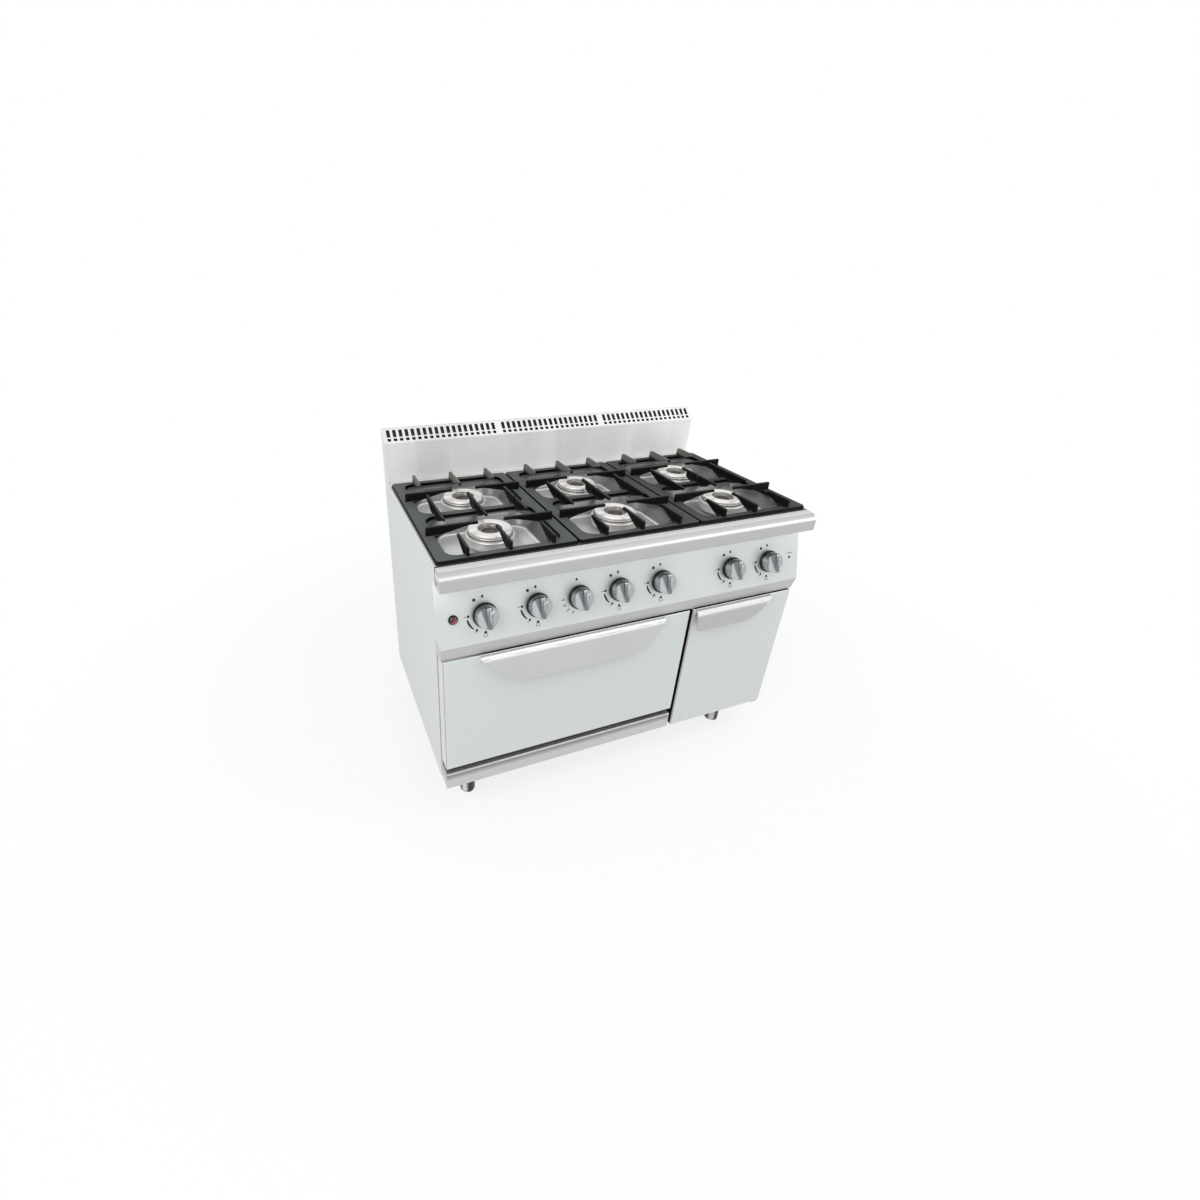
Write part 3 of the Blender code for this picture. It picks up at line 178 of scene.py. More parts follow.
ALONG_X = (9, 900, 900)
FRAME_PAINT = painted("painted_frame", (0.045, 0.045, 0.048))
BRIGHT_STEEL = brushed("bright_turned_steel", (0.36, 0.35, 0.33), 0.26, ALONG_X, 1.0)


def dress(look, *names):
    """Puts a finish on CAD nodes that keep their own shape."""
    for name in names:
        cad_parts[name].material_slots[0].material = look


def turned(bm, profile, steps, place, closed=False):
    """Revolves (radius, height) points about the place's Z, with a UV map round and along them."""
    uv = bm.loops.layers.uv.verify()
    path = list(profile) + ([profile[0]] if closed else [])
    runs = [0.0]
    for a, b in zip(path, path[1:]):
        runs.append(runs[-1] + math.dist(a, b))
    hoops = []
    for radius, height in profile:
        angles = [math.tau * k / steps for k in range(steps if radius else 1)]
        points = [Vector((radius * math.cos(a), radius * math.sin(a), height)) for a in angles]
        hoops.append([bm.verts.new(place @ point) for point in points])
    if closed:
        hoops.append(hoops[0])
    for i, (low, high) in enumerate(zip(hoops, hoops[1:])):
        for k in range(steps):
            corners = {}
            for hoop, run, j in ((low, i, k), (low, i, k + 1), (high, i + 1, k + 1), (high, i + 1, k)):
                corners.setdefault(hoop[j % len(hoop)], (j / steps, runs[run] / runs[-1]))
            face = bm.faces.new(list(corners))
            for loop in face.loops:
                loop[uv].uv = corners[loop.vert]


door_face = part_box("oven_door")[0].y


def shape(name, bm, look, outward=True):
    """An object from a bmesh that was drawn in x, depth and height."""
    bmesh.ops.translate(bm, vec=(0, door_face, 0), verts=bm.verts)
    if outward:
        bmesh.ops.recalc_face_normals(bm, faces=bm.faces)
    mesh = bpy.data.meshes.new(name)
    bm.to_mesh(mesh)
    bm.free()
    mesh.materials.append(look)
    obj = bpy.data.objects.new(name, mesh)
    bpy.context.scene.collection.objects.link(obj)
    return obj


def settle(obj, angle=40, weigh=True):
    """Turns an object's modifiers into plain mesh, smooth but for its sharp edges."""
    if weigh:
        obj.modifiers.new("flat_faces", "WEIGHTED_NORMAL").keep_sharp = True
    obj.data.shade_smooth()
    obj.data.set_sharp_from_angle(angle=math.radians(angle))
    graph = bpy.context.evaluated_depsgraph_get()
    mesh = bpy.data.meshes.new_from_object(obj.evaluated_get(graph))
    obj.modifiers.clear()
    obj.data = mesh
    return obj


def middle(node):
    low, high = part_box(node)
    return (low + high) / 2


def upright(node):
    """A place on the floor under the middle of a node."""
    spot = middle(node)
    return Matrix.Translation((spot.x, spot.y - door_face, 0))


dress(FRAME_PAINT, "base_frame")
LEG_RADIUS, LEG_WALL, LEG_EASE = 0.0254, 0.003, 0.001
LEG_LOW, LEG_HIGH = 0.0502, 0.1448
ROUND_STEPS = 48
FEET = ("foot_front_left", "foot_front_right", "foot_back_left", "foot_back_right")
bore = LEG_RADIUS - LEG_WALL
sleeve = [(bore, LEG_LOW), (LEG_RADIUS - LEG_EASE, LEG_LOW), (LEG_RADIUS, LEG_LOW + LEG_EASE)]
sleeve += [(LEG_RADIUS, LEG_HIGH), (bore, LEG_HIGH)]
bm = bmesh.new()
for foot in FEET:
    turned(bm, sleeve, ROUND_STEPS, upright(foot), closed=True)
legs = settle(shape("leg_sleeves", bm, BRIGHT_STEEL))
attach(legs, "casing")

# Screw feet: turned steel, each a round pad and a grooved collar on a stem in its leg tube.
# They turn on their thread to level the range.
FOOT_HIGHLIGHT, FOOT_DARK = (0.66, 0.65, 0.63), (0.045, 0.042, 0.038)
FOOT_STEEL, place = finish("turned_foot_steel", {"Metallic": 0.8})
local = place.node("ShaderNodeAttribute", {"attribute_name": "local"}, {}, 1)
rings = place.streaks((30, 30, 1500))
# Painted reflection: a light stripe down the left of each foot, dark steel elsewhere, in the foot's own
# coordinates.
painted_gleam = local.axis(0).band((-0.025, -0.019), (-0.013, -0.002))
tone = painted_gleam.between(shade(FOOT_DARK, 1), shade(FOOT_HIGHLIGHT, 1))
(rings * 0.3).between(tone, shade(FOOT_DARK, 2)).feed("Base Color")
(0.28 + rings * 0.1).feed("Roughness")


def mark_local(obj, place):
    """Gives a mesh its own coordinates in the frame of its place, as an attribute."""
    own = obj.data.attributes.new("local", "FLOAT_VECTOR", "POINT")
    home = (Matrix.Translation((0, door_face, 0)) @ place).inverted()
    for item, vert in zip(own.data, obj.data.vertices):
        item.vector = home @ vert.co


def turned_piece(name, look, profile, steps, place, closed=False, angle=40):
    """One turned piece as an object of its own."""
    bm = bmesh.new()
    turned(bm, profile, steps, place, closed)
    return settle(shape(name, bm, look), angle)


FOOT_RADIUS, STEM_RADIUS, STEM_TOP = 0.0246, 0.0157, 0.0897
GROOVE_RADIUS = 0.0238
pad = [(0, 0), (0.0205, 0), (0.0228, 0.0008), (0.0242, 0.003), (FOOT_RADIUS, 0.006)]
for groove_z in (0.0195, 0.0355):
    pad += [(FOOT_RADIUS, groove_z - 0.0015), (GROOVE_RADIUS, groove_z - 0.0007)]
    pad += [(GROOVE_RADIUS, groove_z + 0.0007), (FOOT_RADIUS, groove_z + 0.0015)]
stem = [(FOOT_RADIUS, 0.0484), (FOOT_RADIUS - 0.001, 0.0496), (STEM_RADIUS, 0.0497)]
stem += [(STEM_RADIUS, STEM_TOP), (0, STEM_TOP)]
for foot in FEET:
    made = turned_piece(foot + "_turned", FOOT_STEEL, pad + stem, ROUND_STEPS, upright(foot))
    mark_local(made, upright(foot))
    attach(made, foot)
    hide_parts(foot)

# Outer casing: folded trays of pale satin steel screwed to the frame, with a vented back
# sheet, the wall between oven and cupboard, and the kick strip under the oven door.
PALE = (0.640, 0.682, 0.668)
GREY = (0.56, 0.56, 0.555)
ALONG_Z = (900, 900, 9)
SIDE_STEEL = brushed("satin_side_sheet", PALE, 0.42, ALONG_Z, 0.2, 0.02)
GREY_STEEL = brushed("brushed_grey_sheet", GREY, 0.34, ALONG_X, 0.75, 0.06)
# A near-black sheet, used as painted shade behind gaps and slots.
SHADE_DARK_STEEL = painted("blackened_inner_sheet", (0.02, 0.02, 0.021))
SHEET = 0.0016
FOLD_ROUND = 0.0032
REARWARD = (0, 1, 0)


def add_box(bm, x, d, z):
    """A box between x, depth and height spans."""
    size = Matrix.Diagonal((x[1] - x[0], d[1] - d[0], z[1] - z[0], 1))
    centre = (sum(x) / 2, sum(d) / 2, sum(z) / 2)
    bmesh.ops.create_cube(bm, size=1, matrix=Matrix.Translation(centre) @ size)


def thicken(obj, sheet):
    """Gives a bare skin the thickness of its sheet, inwards."""
    wall = obj.modifiers.new("sheet", "SOLIDIFY")
    wall.thickness = sheet
    wall.offset = -1


def folded_tray(name, look, spans, open_side, fold=FOLD_ROUND):
    """A tray of folded sheet with rounded folds, open on the side that faces one way."""
    bm = bmesh.new()
    add_box(bm, *spans)
    away = Vector(open_side)
    bmesh.ops.delete(bm, geom=[f for f in bm.faces if f.normal.dot(away) > 0.9], context="FACES")
    folds = [e for e in bm.edges if not e.is_boundary]
    bmesh.ops.bevel(bm, geom=folds, offset=fold, segments=4, profile=0.5, affect="EDGES")
    tray = shape(name, bm, look)
    thicken(tray, SHEET)
    return tray


def span(node, axis):
    low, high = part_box(node)
    shift = door_face if axis == 1 else 0
    return low[axis] - shift, high[axis] - shift


def extents(node):
    return [span(node, axis) for axis in range(3)]


for node, inner in (("left_side_panel", (1, 0, 0)), ("right_side_panel", (-1, 0, 0))):
    made = settle(folded_tray(node + "_sheet", SIDE_STEEL, extents(node), inner))
    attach(made, "casing")
    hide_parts(node)


def round_edges(obj, width, segments=2):
    bevel = obj.modifiers.new("round", "BEVEL")
    bevel.width = width
    bevel.segments = segments
    bevel.limit_method = "ANGLE"
    bevel.angle_limit = math.radians(35)


def softened(node, name, look, width):
    """A copy of a node's solid, merged, with its sharp edges rounded over."""
    bm = bmesh.new()
    bm.from_mesh(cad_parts[node].data)
    bmesh.ops.remove_doubles(bm, verts=bm.verts, dist=1e-5)
    bmesh.ops.dissolve_limit(bm, angle_limit=math.radians(0.5), verts=bm.verts, edges=bm.edges)
    bmesh.ops.translate(bm, vec=(0, -door_face, 0), verts=bm.verts)
    obj = shape(name, bm, look)
    round_edges(obj, width)
    return settle(obj)


BACK_EDGE = 0.0006
back = softened("back_panel", "back_sheet", SIDE_STEEL, BACK_EDGE)
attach(back, "casing")
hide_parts("back_panel")
# The wall between oven and cupboard is dressed near black, as painted shade in the gap between the doors.
dress(SHADE_DARK_STEEL, "partition_panel")
dress(GREY_STEEL, "cupboard_floor")
KICK_DROP, KICK_HEM, KICK_SHADE_REACH = 0.0065, 0.0055, 0.030
BLEND = 0.002
kick_x, kick_d, kick_z = extents("kick_strip")
kick_top = kick_z[1] - KICK_DROP
hem_z = kick_top - KICK_HEM
made, place = finish("kick_strip_sheet", {"Metallic": 0.5})
lines = place.streaks(ALONG_X)
clouds = place.noise(60, (0.5, 1, 1.5), 4)
# Painted shade: the face grows darker up to its top hem, as the shade below the fold.
crease_shade = place.axis(2).step(kick_top - KICK_SHADE_REACH, hem_z - BLEND)
hem = place.axis(2).step(hem_z, hem_z + BLEND)
tone = (lines * 0.3 + clouds * 0.7).between(shade(GREY, 0.90), shade(GREY, 1.14))
tone = crease_shade.between(tone, shade(GREY, 0.48))
hem.between(tone, shade(GREY, 0.98)).feed("Base Color")
(0.32 + clouds * 0.1).feed("Roughness")
lines.bump(0.04, 0.0002)
spans = (kick_x, kick_d, (kick_z[0], kick_top))
kick = settle(folded_tray("kick_strip_folded", made, spans, REARWARD))
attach(kick, "casing")
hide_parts("kick_strip")


# Oven: a cavity of dark speckled enamel on steel, with a burner tube on its floor, a slotted
# sole plate, pressed racks, a wire shelf and a braided rope seal round its mouth.
def enamel(name, colour):
    """Fired enamel: glossy, slightly wavy and flecked with pale specks."""
    made, place = finish(name, {"Coat Weight": 0.5, "Coat Roughness": 0.08})
    flecks = place.noise(420, detail=1).step(0.66, 0.72)
    flecks.between(shade(colour, 1), (0.35, 0.36, 0.38, 1)).feed("Base Color")
    (0.22 + place.noise(12) * 0.16).feed("Roughness")
    place.noise(60, detail=1).bump(0.1, 0.001)
    return made


def wire_metal(name, colour):
    """Chromed wire: bright, with duller handled patches."""
    made, place = finish(name, {"Metallic": 1})
    patches = place.noise(30)
    patches.between(shade(colour, 0.85), shade(colour, 1.1)).feed("Base Color")
    (0.1 + patches * 0.22).feed("Roughness")
    return made


def rope(name):
    """Braided glass rope: dark strands crossing on the slant."""
    made, place = finish(name, {"Roughness": 0.9})
    slant = place.node("ShaderNodeMapping", {}, {"Vector": place, "Rotation": (0, 0.8, 0.8)})
    strands = place.node("ShaderNodeTexWave", {}, {"Vector": slant, "Scale": 90, "Distortion": 2.0})
    strands.between((0.03, 0.03, 0.03, 1), (0.12, 0.115, 0.11, 1)).feed("Base Color")
    strands.bump(0.6, 0.001)
    return made


OVEN_ENAMEL = enamel("speckled_oven_enamel", (0.018, 0.019, 0.022))
CHROME = wire_metal("chromed_wire", (0.62, 0.62, 0.61))
SEAL_ROPE = rope("braided_seal_rope")
dress(OVEN_ENAMEL, "oven_cavity", "oven_sole_plate", "oven_burner")
dress(CHROME, "rack_left", "rack_right")


def node_tree(name, inputs):
    """A Geometry Nodes tree with named inputs, and a Signal on each of them by name."""
    tree = bpy.data.node_groups.new(name, "GeometryNodeTree")
    tree.interface.new_socket("Geometry", in_out="INPUT", socket_type="NodeSocketGeometry")
    for label, kind in inputs.items():
        tree.interface.new_socket(label, in_out="INPUT", socket_type="NodeSocket" + kind)
    tree.interface.new_socket("Finish", in_out="INPUT", socket_type="NodeSocketMaterial")
    tree.interface.new_socket("Geometry", in_out="OUTPUT", socket_type="NodeSocketGeometry")
    sockets = tree.nodes.new("NodeGroupInput").outputs
    return tree, {s.name: Signal(tree, s) for s in sockets if s.name}


def end_tree(shapes, given):
    real = shapes.node("GeometryNodeRealizeInstances", {}, {"Geometry": shapes})
    done = shapes.node("GeometryNodeSetMaterial", {}, {"Geometry": real, "Material": given["Finish"]})
    shapes.node("NodeGroupOutput", {}, {"Geometry": done})


def grow(obj, tree, values, angle=40):
    """Runs a tree on an object with the given input values and keeps the result as plain mesh."""
    modifier = obj.modifiers.new(tree.name, "NODES")
    modifier.node_group = tree
    for item in tree.interface.items_tree:
        if item.in_out == "INPUT" and item.name in values:
            modifier[item.identifier] = values[item.name]
    graph = bpy.context.evaluated_depsgraph_get()
    mesh = bpy.data.meshes.new_from_object(obj.evaluated_get(graph))
    obj.modifiers.clear()
    obj.data = mesh
    mesh.shade_smooth()
    mesh.set_sharp_from_angle(angle=math.radians(angle))
    return obj


bar_tree, given = node_tree("round_bars", {"Radius": "Float", "Sides": "Int"})
lines = given["Geometry"].node("GeometryNodeMeshToCurve", {}, {"Mesh": given["Geometry"]})
sockets = {"Resolution": given["Sides"], "Radius": given["Radius"]}
section = lines.node("GeometryNodeCurvePrimitiveCircle", {}, sockets)
bars = {"Curve": lines, "Profile Curve": section, "Fill Caps": True}
end_tree(lines.node("GeometryNodeCurveToMesh", {}, bars), given)


def wires(name, paths, look):
    """An object of bare edges along the paths, for the bar tree to thicken."""
    bm = bmesh.new()
    for points, ring in paths:
        verts = [bm.verts.new(point) for point in points]
        for a, b in zip(verts, verts[1:] + (verts[:1] if ring else [])):
            bm.edges.new((a, b))
    return shape(name, bm, look, outward=False)


SHELF_BAR, SHELF_WIRE = 0.0030, 0.0017
SHELF_WIRES = 26
x, d, z = extents("oven_shelf")
left, right, near, far = x[0] + SHELF_BAR, x[1] - SHELF_BAR, d[0] + SHELF_BAR, d[1] - SHELF_BAR
bar_z = z[0] + SHELF_BAR
wire_z = bar_z + SHELF_WIRE
rim = [(left, near, bar_z), (right, near, bar_z), (right, far, bar_z), (left, far, bar_z)]
stay = [(left, sum(d) / 2, bar_z), (right, sum(d) / 2, bar_z)]
outer = wires("oven_shelf_rim", [(rim, True), (stay, False)], CHROME)
grow(outer, bar_tree, {"Radius": SHELF_BAR, "Sides": 12, "Finish": CHROME})
pitch = (x[1] - x[0]) / (SHELF_WIRES + 1)
rungs = [x[0] + pitch * (k + 1) for k in range(SHELF_WIRES)]
runs = [([(rung, near, wire_z), (rung, far, wire_z)], False) for rung in rungs]
inner = wires("oven_shelf_wires", runs, CHROME)
grow(inner, bar_tree, {"Radius": SHELF_WIRE, "Sides": 10, "Finish": CHROME})
for made in (outer, inner):
    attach(made, "oven_shelf")
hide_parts("oven_shelf")
ROPE_RADIUS, ROPE_CORNER = 0.0021, 0.012
ROPE_INSETS, ROPE_STEPS = (0.0024, 0.0068), 6


def corner_points(u, v, radius, steps):
    """A rectangle's outline with round corners, as points in order."""
    points = []
    for a, b, start in ((u[1], v[1], 0), (u[0], v[1], 90), (u[0], v[0], 180), (u[1], v[0], 270)):
        centre_u = a - math.copysign(radius, a - sum(u) / 2)
        centre_v = b - math.copysign(radius, b - sum(v) / 2)
        for k in range(steps + 1):
            angle = math.radians(start + 90 * k / steps)
            points.append((centre_u + radius * math.cos(angle), centre_v + radius * math.sin(angle)))
    return points


gx, gd, gz = extents("oven_gasket")
paths = []
for inset in ROPE_INSETS:
    u, v = (gx[0] + inset, gx[1] - inset), (gz[0] + inset, gz[1] - inset)
    loop = [(x, sum(gd) / 2, z) for x, z in corner_points(u, v, ROPE_CORNER - inset, ROPE_STEPS)]
    paths.append((loop, True))
seal = wires("oven_seal", paths, SEAL_ROPE)
grow(seal, bar_tree, {"Radius": ROPE_RADIUS, "Sides": 10, "Finish": SEAL_ROPE})
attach(seal, "casing")
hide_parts("oven_gasket")


# Gas rail, tap spindles and supply pipe: turned brass taps on a drawn rail behind the control
# panel, and a painted iron pipe that ends in a threaded inlet at the back.
def cast_brass(name):
    made, place = finish(name, {"Metallic": 1})
    dull = place.noise(45, detail=4)
    dull.between((0.42, 0.27, 0.09, 1), (0.72, 0.52, 0.22, 1)).feed("Base Color")
    (0.25 + dull * 0.25).feed("Roughness")
    return made


BRASS = cast_brass("tap_brass")
dress(BRASS, "gas_manifold", *[f"tap_spindle_{k}" for k in range(1, 8)])
dress(FRAME_PAINT, "gas_supply_pipe")
INLET_RADIUS, INLET_BORE, INLET_STEPS = 0.0125, 0.0085, 32
THREAD_TURNS, THREAD_PITCH, THREAD_DEEP = 6, 0.0018, 0.001
RUN_IN = 0.002
pipe = middle("gas_supply_pipe")
pipe_end = span("gas_supply_pipe", 1)[1]
root = INLET_RADIUS - THREAD_DEEP
thread = [(INLET_BORE, -RUN_IN), (root, -RUN_IN)]
for k in range(THREAD_TURNS):
    thread += [(root, THREAD_PITCH * k), (INLET_RADIUS, THREAD_PITCH * (k + 0.5))]
tip = THREAD_PITCH * THREAD_TURNS
thread += [(root - 0.0005, tip), (INLET_BORE, tip)]
rearward = Matrix.Translation((pipe.x, pipe_end, pipe.z)) @ Matrix.Rotation(math.radians(-90), 4, "X")
inlet = turned_piece("gas_inlet_thread", BRASS, thread, INLET_STEPS, rearward, True, 25)
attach(inlet, "casing")

# Control panel: one sheet folded back at its foot into a leaning chamfer, open behind.
# Its face is pale and satin; the chamfer below the face is left in grey brushed steel.
CHAMFER_TOP, CHAMFER_LINE, PANEL_EDGE = 0.6695, 0.0008, 0.0008
NOSE_SHADOW_LIFT = (0.745, 0.850)
made, place = finish("control_panel_sheet", {"Metallic": 0.4})
lines = place.streaks(ALONG_X)
face = place.axis(2).step(CHAMFER_TOP - CHAMFER_LINE, CHAMFER_TOP + CHAMFER_LINE)
tone = lines.between(shade(PALE, 0.975), shade(PALE, 1.025))
# Painted light: the face grows lighter towards its top, against the shadow that the nose casts there.
tone = place.axis(2).step(*NOSE_SHADOW_LIFT).between(tone, shade(PALE, 1.40))
grey = lines.between(shade(GREY, 0.90), shade(GREY, 1.02))
face.between(grey, tone).feed("Base Color")
(0.36 + lines * 0.08).feed("Roughness")
lines.bump(0.12, 0.00025)
panel = softened("control_panel", "control_panel_folded", made, PANEL_EDGE)
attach(panel, "casing")
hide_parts("control_panel")

# Dial marks: black and grey signs printed on the control face round each knob: dots for off
# and light, a widening arc from high to low flame, and a small burner sign underneath.
PANEL_LEAN = math.radians(15.2)
KNOB_Z, KNOB_D = 0.745, 0.014913
PRINT_LOW, PRINT_HIGH = 0.00005, 0.00012
KNOBS = ("knob_1", "knob_2", "oven_knob", "knob_4", "knob_5", "knob_6", "knob_7")


def panel_frame(x):
    """A frame on the control face at knob height: X right, Y up the face, Z out of it."""
    out = Vector((0, -math.cos(PANEL_LEAN), math.sin(PANEL_LEAN)))
    up = Vector((0, math.sin(PANEL_LEAN), math.cos(PANEL_LEAN)))
    axes = Matrix((Vector((1, 0, 0)), up, out)).transposed().to_4x4()
    return Matrix.Translation((x, KNOB_D, KNOB_Z)) @ axes


def ink(name, colour):
    made, place = finish(name, {"Roughness": 0.55})
    place.noise(800, detail=2).between(shade(colour, 0.8), shade(colour, 1.3)).feed("Base Color")
    return made


def bridge(bm, first, second):
    """A band of faces between two closed rings of vertices."""
    pairs = [(i, (i + 1) % len(first)) for i in range(len(first))]
    return [bm.faces.new((first[i], first[j], second[j], second[i])) for i, j in pairs]


def printed(bm, outline, place):
    """A flat sign of ink thickness on the control face."""
    lower = [bm.verts.new(place @ Vector((u, v, PRINT_LOW))) for u, v in outline]
    upper = [bm.verts.new(place @ Vector((u, v, PRINT_HIGH))) for u, v in outline]
    bm.faces.new(lower[::-1])
    bm.faces.new(upper)
    bridge(bm, lower, upper)


def polar(radius, clock):
    """A point at a clock reading in hours, seen from the front."""
    angle = math.radians(90 - clock * 30)
    return radius * math.cos(angle), radius * math.sin(angle)


def disc(centre, radius, steps=14, squeeze=1.0):
    turns = [math.tau * k / steps for k in range(steps)]
    return [(centre[0] + radius * squeeze * math.cos(a), centre[1] + radius * math.sin(a)) for a in turns]


def bar_sign(a, b, width):
    a, b = Vector(a), Vector(b)
    way = (b - a).normalized() * (width / 2)
    side = Vector((-way.y, way.x))
    return [a - side, b - side, b + side, a + side]


def crescent(start, end, radius, thick, steps=12):
    """An arc that swells from its ends, between two clock readings."""
    outer, inner = [], []
    for k in range(steps + 1):
        t = k / steps
        half = thick / 2 * (0.35 + 0.65 * math.sin(math.pi * (0.15 + 0.85 * t)))
        clock = start + (end - start) * t
        outer.append(polar(radius + half, clock))
        inner.append(polar(radius - half, clock))
    return outer + inner[::-1]


BLACK_INK = ink("black_dial_ink", (0.012, 0.012, 0.013))
GREY_INK = ink("grey_dial_ink", (0.19, 0.20, 0.20))
RING = 0.050
OFF, LIGHT, HIGH, LOW, FOOT = 11, 11.95, 9.05, 7.0, 6
OVEN_OFF, OVEN_HEATS = 11.85, (8.9, 8.2, 7.5, 6.8)
DOT, OVEN_DOT, HEAT_DOT = 0.0046, 0.0044, 0.0026
HIGH_DOT, LOW_DOT, FOOT_DOT = 0.0038, 0.0036, 0.0042
HEAT_BAR, HIGH_BAR, LOW_BAR, SIDE_BAR = 0.003, 0.0022, 0.002, 0.003
DISH_OUT, DISH_IN = 0.006, 0.0042
DISH_TOP, DISH_FLOOR, DISH_LOW = -0.003, -0.0105, -0.0125
SIDE_SIGN = 0.092
dish = [(-DISH_OUT, DISH_TOP), (-DISH_IN, DISH_TOP), (-DISH_IN, DISH_FLOOR), (DISH_IN, DISH_FLOOR)]
dish += [(DISH_IN, DISH_TOP), (DISH_OUT, DISH_TOP), (DISH_OUT, DISH_LOW), (-DISH_OUT, DISH_LOW)]
black, grey = bmesh.new(), bmesh.new()
for name in KNOBS:
    place = panel_frame(middle(name).x)
    if name == "oven_knob":
        printed(black, disc(polar(RING, OVEN_OFF), OVEN_DOT, squeeze=0.8), place)
        for clock in OVEN_HEATS:
            bar = polar(RING - 0.003, clock), polar(RING + 0.004, clock)
            printed(grey, bar_sign(*bar, HEAT_BAR), place)
            printed(grey, disc(polar(RING - 0.004, clock), HEAT_DOT), place)
        continue
    printed(black, disc(polar(RING, OFF), DOT), place)
    printed(black, disc(polar(RING, LIGHT), DOT, squeeze=0.75), place)
    printed(black, disc(polar(RING - 0.006, HIGH), HIGH_DOT), place)
    printed(grey, bar_sign(polar(RING - 0.002, HIGH), polar(RING + 0.007, HIGH - 0.05), HIGH_BAR), place)
    printed(black, crescent(HIGH - 0.35, LOW + 0.35, RING - 0.002, 0.0060), place)
    printed(black, disc(polar(RING - 0.003, LOW), LOW_DOT), place)
    printed(grey, bar_sign(polar(RING - 0.001, LOW), polar(RING + 0.006, LOW + 0.1), LOW_BAR), place)
    foot = polar(RING + 0.001, FOOT)
    printed(black, disc(foot, FOOT_DOT), place)
    printed(grey, [(foot[0] + u, foot[1] + v) for u, v in dish], place)
side_sign = panel_frame(middle("knob_7").x + SIDE_SIGN)
printed(black, disc((0, -0.002), DOT), side_sign)
printed(grey, bar_sign((-0.009, 0.012), (0.011, 0.012), SIDE_BAR), side_sign)
for name, bm, look in (("dial_marks_black", black, BLACK_INK), ("dial_marks_grey", grey, GREY_INK)):
    made = shape(name, bm, look)
    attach(made, "casing")

# Worktop: one pressed sheet with a bullnose along its front and six sunk basins, each with
# rounded brim and floor and a hole for its burner. The ends of the nose are closed plates.
(wx0, wx1), (wd0, wd1), (wz0, wz1) = extents("worktop")
BORDER_STEEL, SHADED_LAND, SHADED_WALL = (0.66, 0.66, 0.655), (0.15, 0.15, 0.155), (0.165, 0.163, 0.163)
SHADED_NOSE_FACE, NOSE_GLEAM, FOLD_STEEL = (0.49, 0.49, 0.49), (0.86, 0.86, 0.86), (0.85, 0.84, 0.86)
FLOOR_LEFT, FLOOR_RIGHT = (0.74, 0.76, 0.775), (0.42, 0.40, 0.37)
BASIN_DEPTH = 0.040
WELL_FRONT, WELL_BACK, BACK_SHADOW = (0.030, 0.034), (0.604, 0.608), (0.546, 0.563)
WELL_LEFT, WELL_RIGHT = (-0.597, -0.592), (0.592, 0.597)
SHOULDER, BEND, GRATE_EDGE_SHADOW = (0.0005, 0.0030), (0.0090, 0.0145), (0.0245, 0.0262)
NOSE_FACE = (0.0155, 0.0205)
TOP_STEEL, place = finish("brushed_worktop", {})
lines = place.streaks(ALONG_X)
clouds = place.noise(9, (1, 2.5, 1), 3)
across, depth, drop = place.axis(0), place.axis(1) - door_face, wz1 - place.axis(2)
behind = depth.step(*WELL_FRONT)
border = 1 - drop.step(0.0015, 0.004)
fold = drop.step(BASIN_DEPTH - 0.0042, BASIN_DEPTH - 0.0012)
flat = drop.step(BASIN_DEPTH - 0.0008, BASIN_DEPTH - 0.0002)
pan = across.step(-0.45, 0.35).between(shade(FLOOR_LEFT, 1), shade(FLOOR_RIGHT, 1))
pan = (clouds * 0.6).between(pan, shade(FOLD_STEEL, 0.75))
# Painted shade: the basin walls are dark under the grates' borders, the backs of the basins darker still,
# and the flat land within the grates' footprint dark too.
sunk = fold.between(shade(SHADED_WALL, 1), flat.between(shade(FOLD_STEEL, 1), pan))
sunk = depth.step(*BACK_SHADOW).between(sunk, shade(SHADED_LAND, 0.15))
bare = lines.between(shade(BORDER_STEEL, 0.97), shade(BORDER_STEEL, 1.03))
inside = across.band(WELL_LEFT, WELL_RIGHT) * depth.band(WELL_FRONT, WELL_BACK)
well = inside.between(bare, border.between(sunk, shade(SHADED_LAND, 1)))
# Painted light and shade on the nose: a darker shoulder, a painted highlight along the bend, and a darker
# front face below it.
nose = drop.step(*SHOULDER).between(bare, shade(BORDER_STEEL, 0.70))
nose = drop.step(*BEND).between(nose, shade(NOSE_GLEAM, 1))
nose = drop.step(*NOSE_FACE).between(nose, shade(SHADED_NOSE_FACE, 1))
# Painted shadow: a dark line on the border just in front of the grates' front edge.
nose = depth.step(*GRATE_EDGE_SHADOW).between(nose, shade(SHADED_LAND, 0.08))
behind.between(nose, well).feed("Base Color")
(0.5 - border * 0.2).feed("Metallic")
dull = (1 - behind) * (1 - drop.step(*BEND)) * 0.25
(0.26 + border * 0.14 + dull + lines * 0.04 + clouds * 0.06).feed("Roughness")
lines.bump(0.03, 0.0002)
NOSE_ROUND, NOSE_BACK, LOW_BEND = 0.028, 0.0547, 0.003
RIM, END_ROUND, TOP_SHEET = 0.014, 0.0015, 0.0012
BASIN_HALF = (0.165, 0.12125)
BASIN_CORNER, BASIN_STEPS = 0.070, 9
BURNER_HOLE = 0.0288
BASIN_WALL = [(-0.006, 0), (-0.002, 0.0005), (0.001, 0.0018), (0.0035, 0.0045), (0.006, 0.0080)]
BASIN_WALL += [(0.0235, 0.0320), (0.0262, 0.0352), (0.0295, 0.0378), (0.0335, 0.0394)]
BASIN_WALL += [(0.0385, BASIN_DEPTH)]


def arc_points(centre, radius, start, end, steps):
    turns = [math.radians(start + (end - start) * k / steps) for k in range(steps + 1)]
    return [(centre[0] + radius * math.cos(a), centre[1] + radius * math.sin(a)) for a in turns]


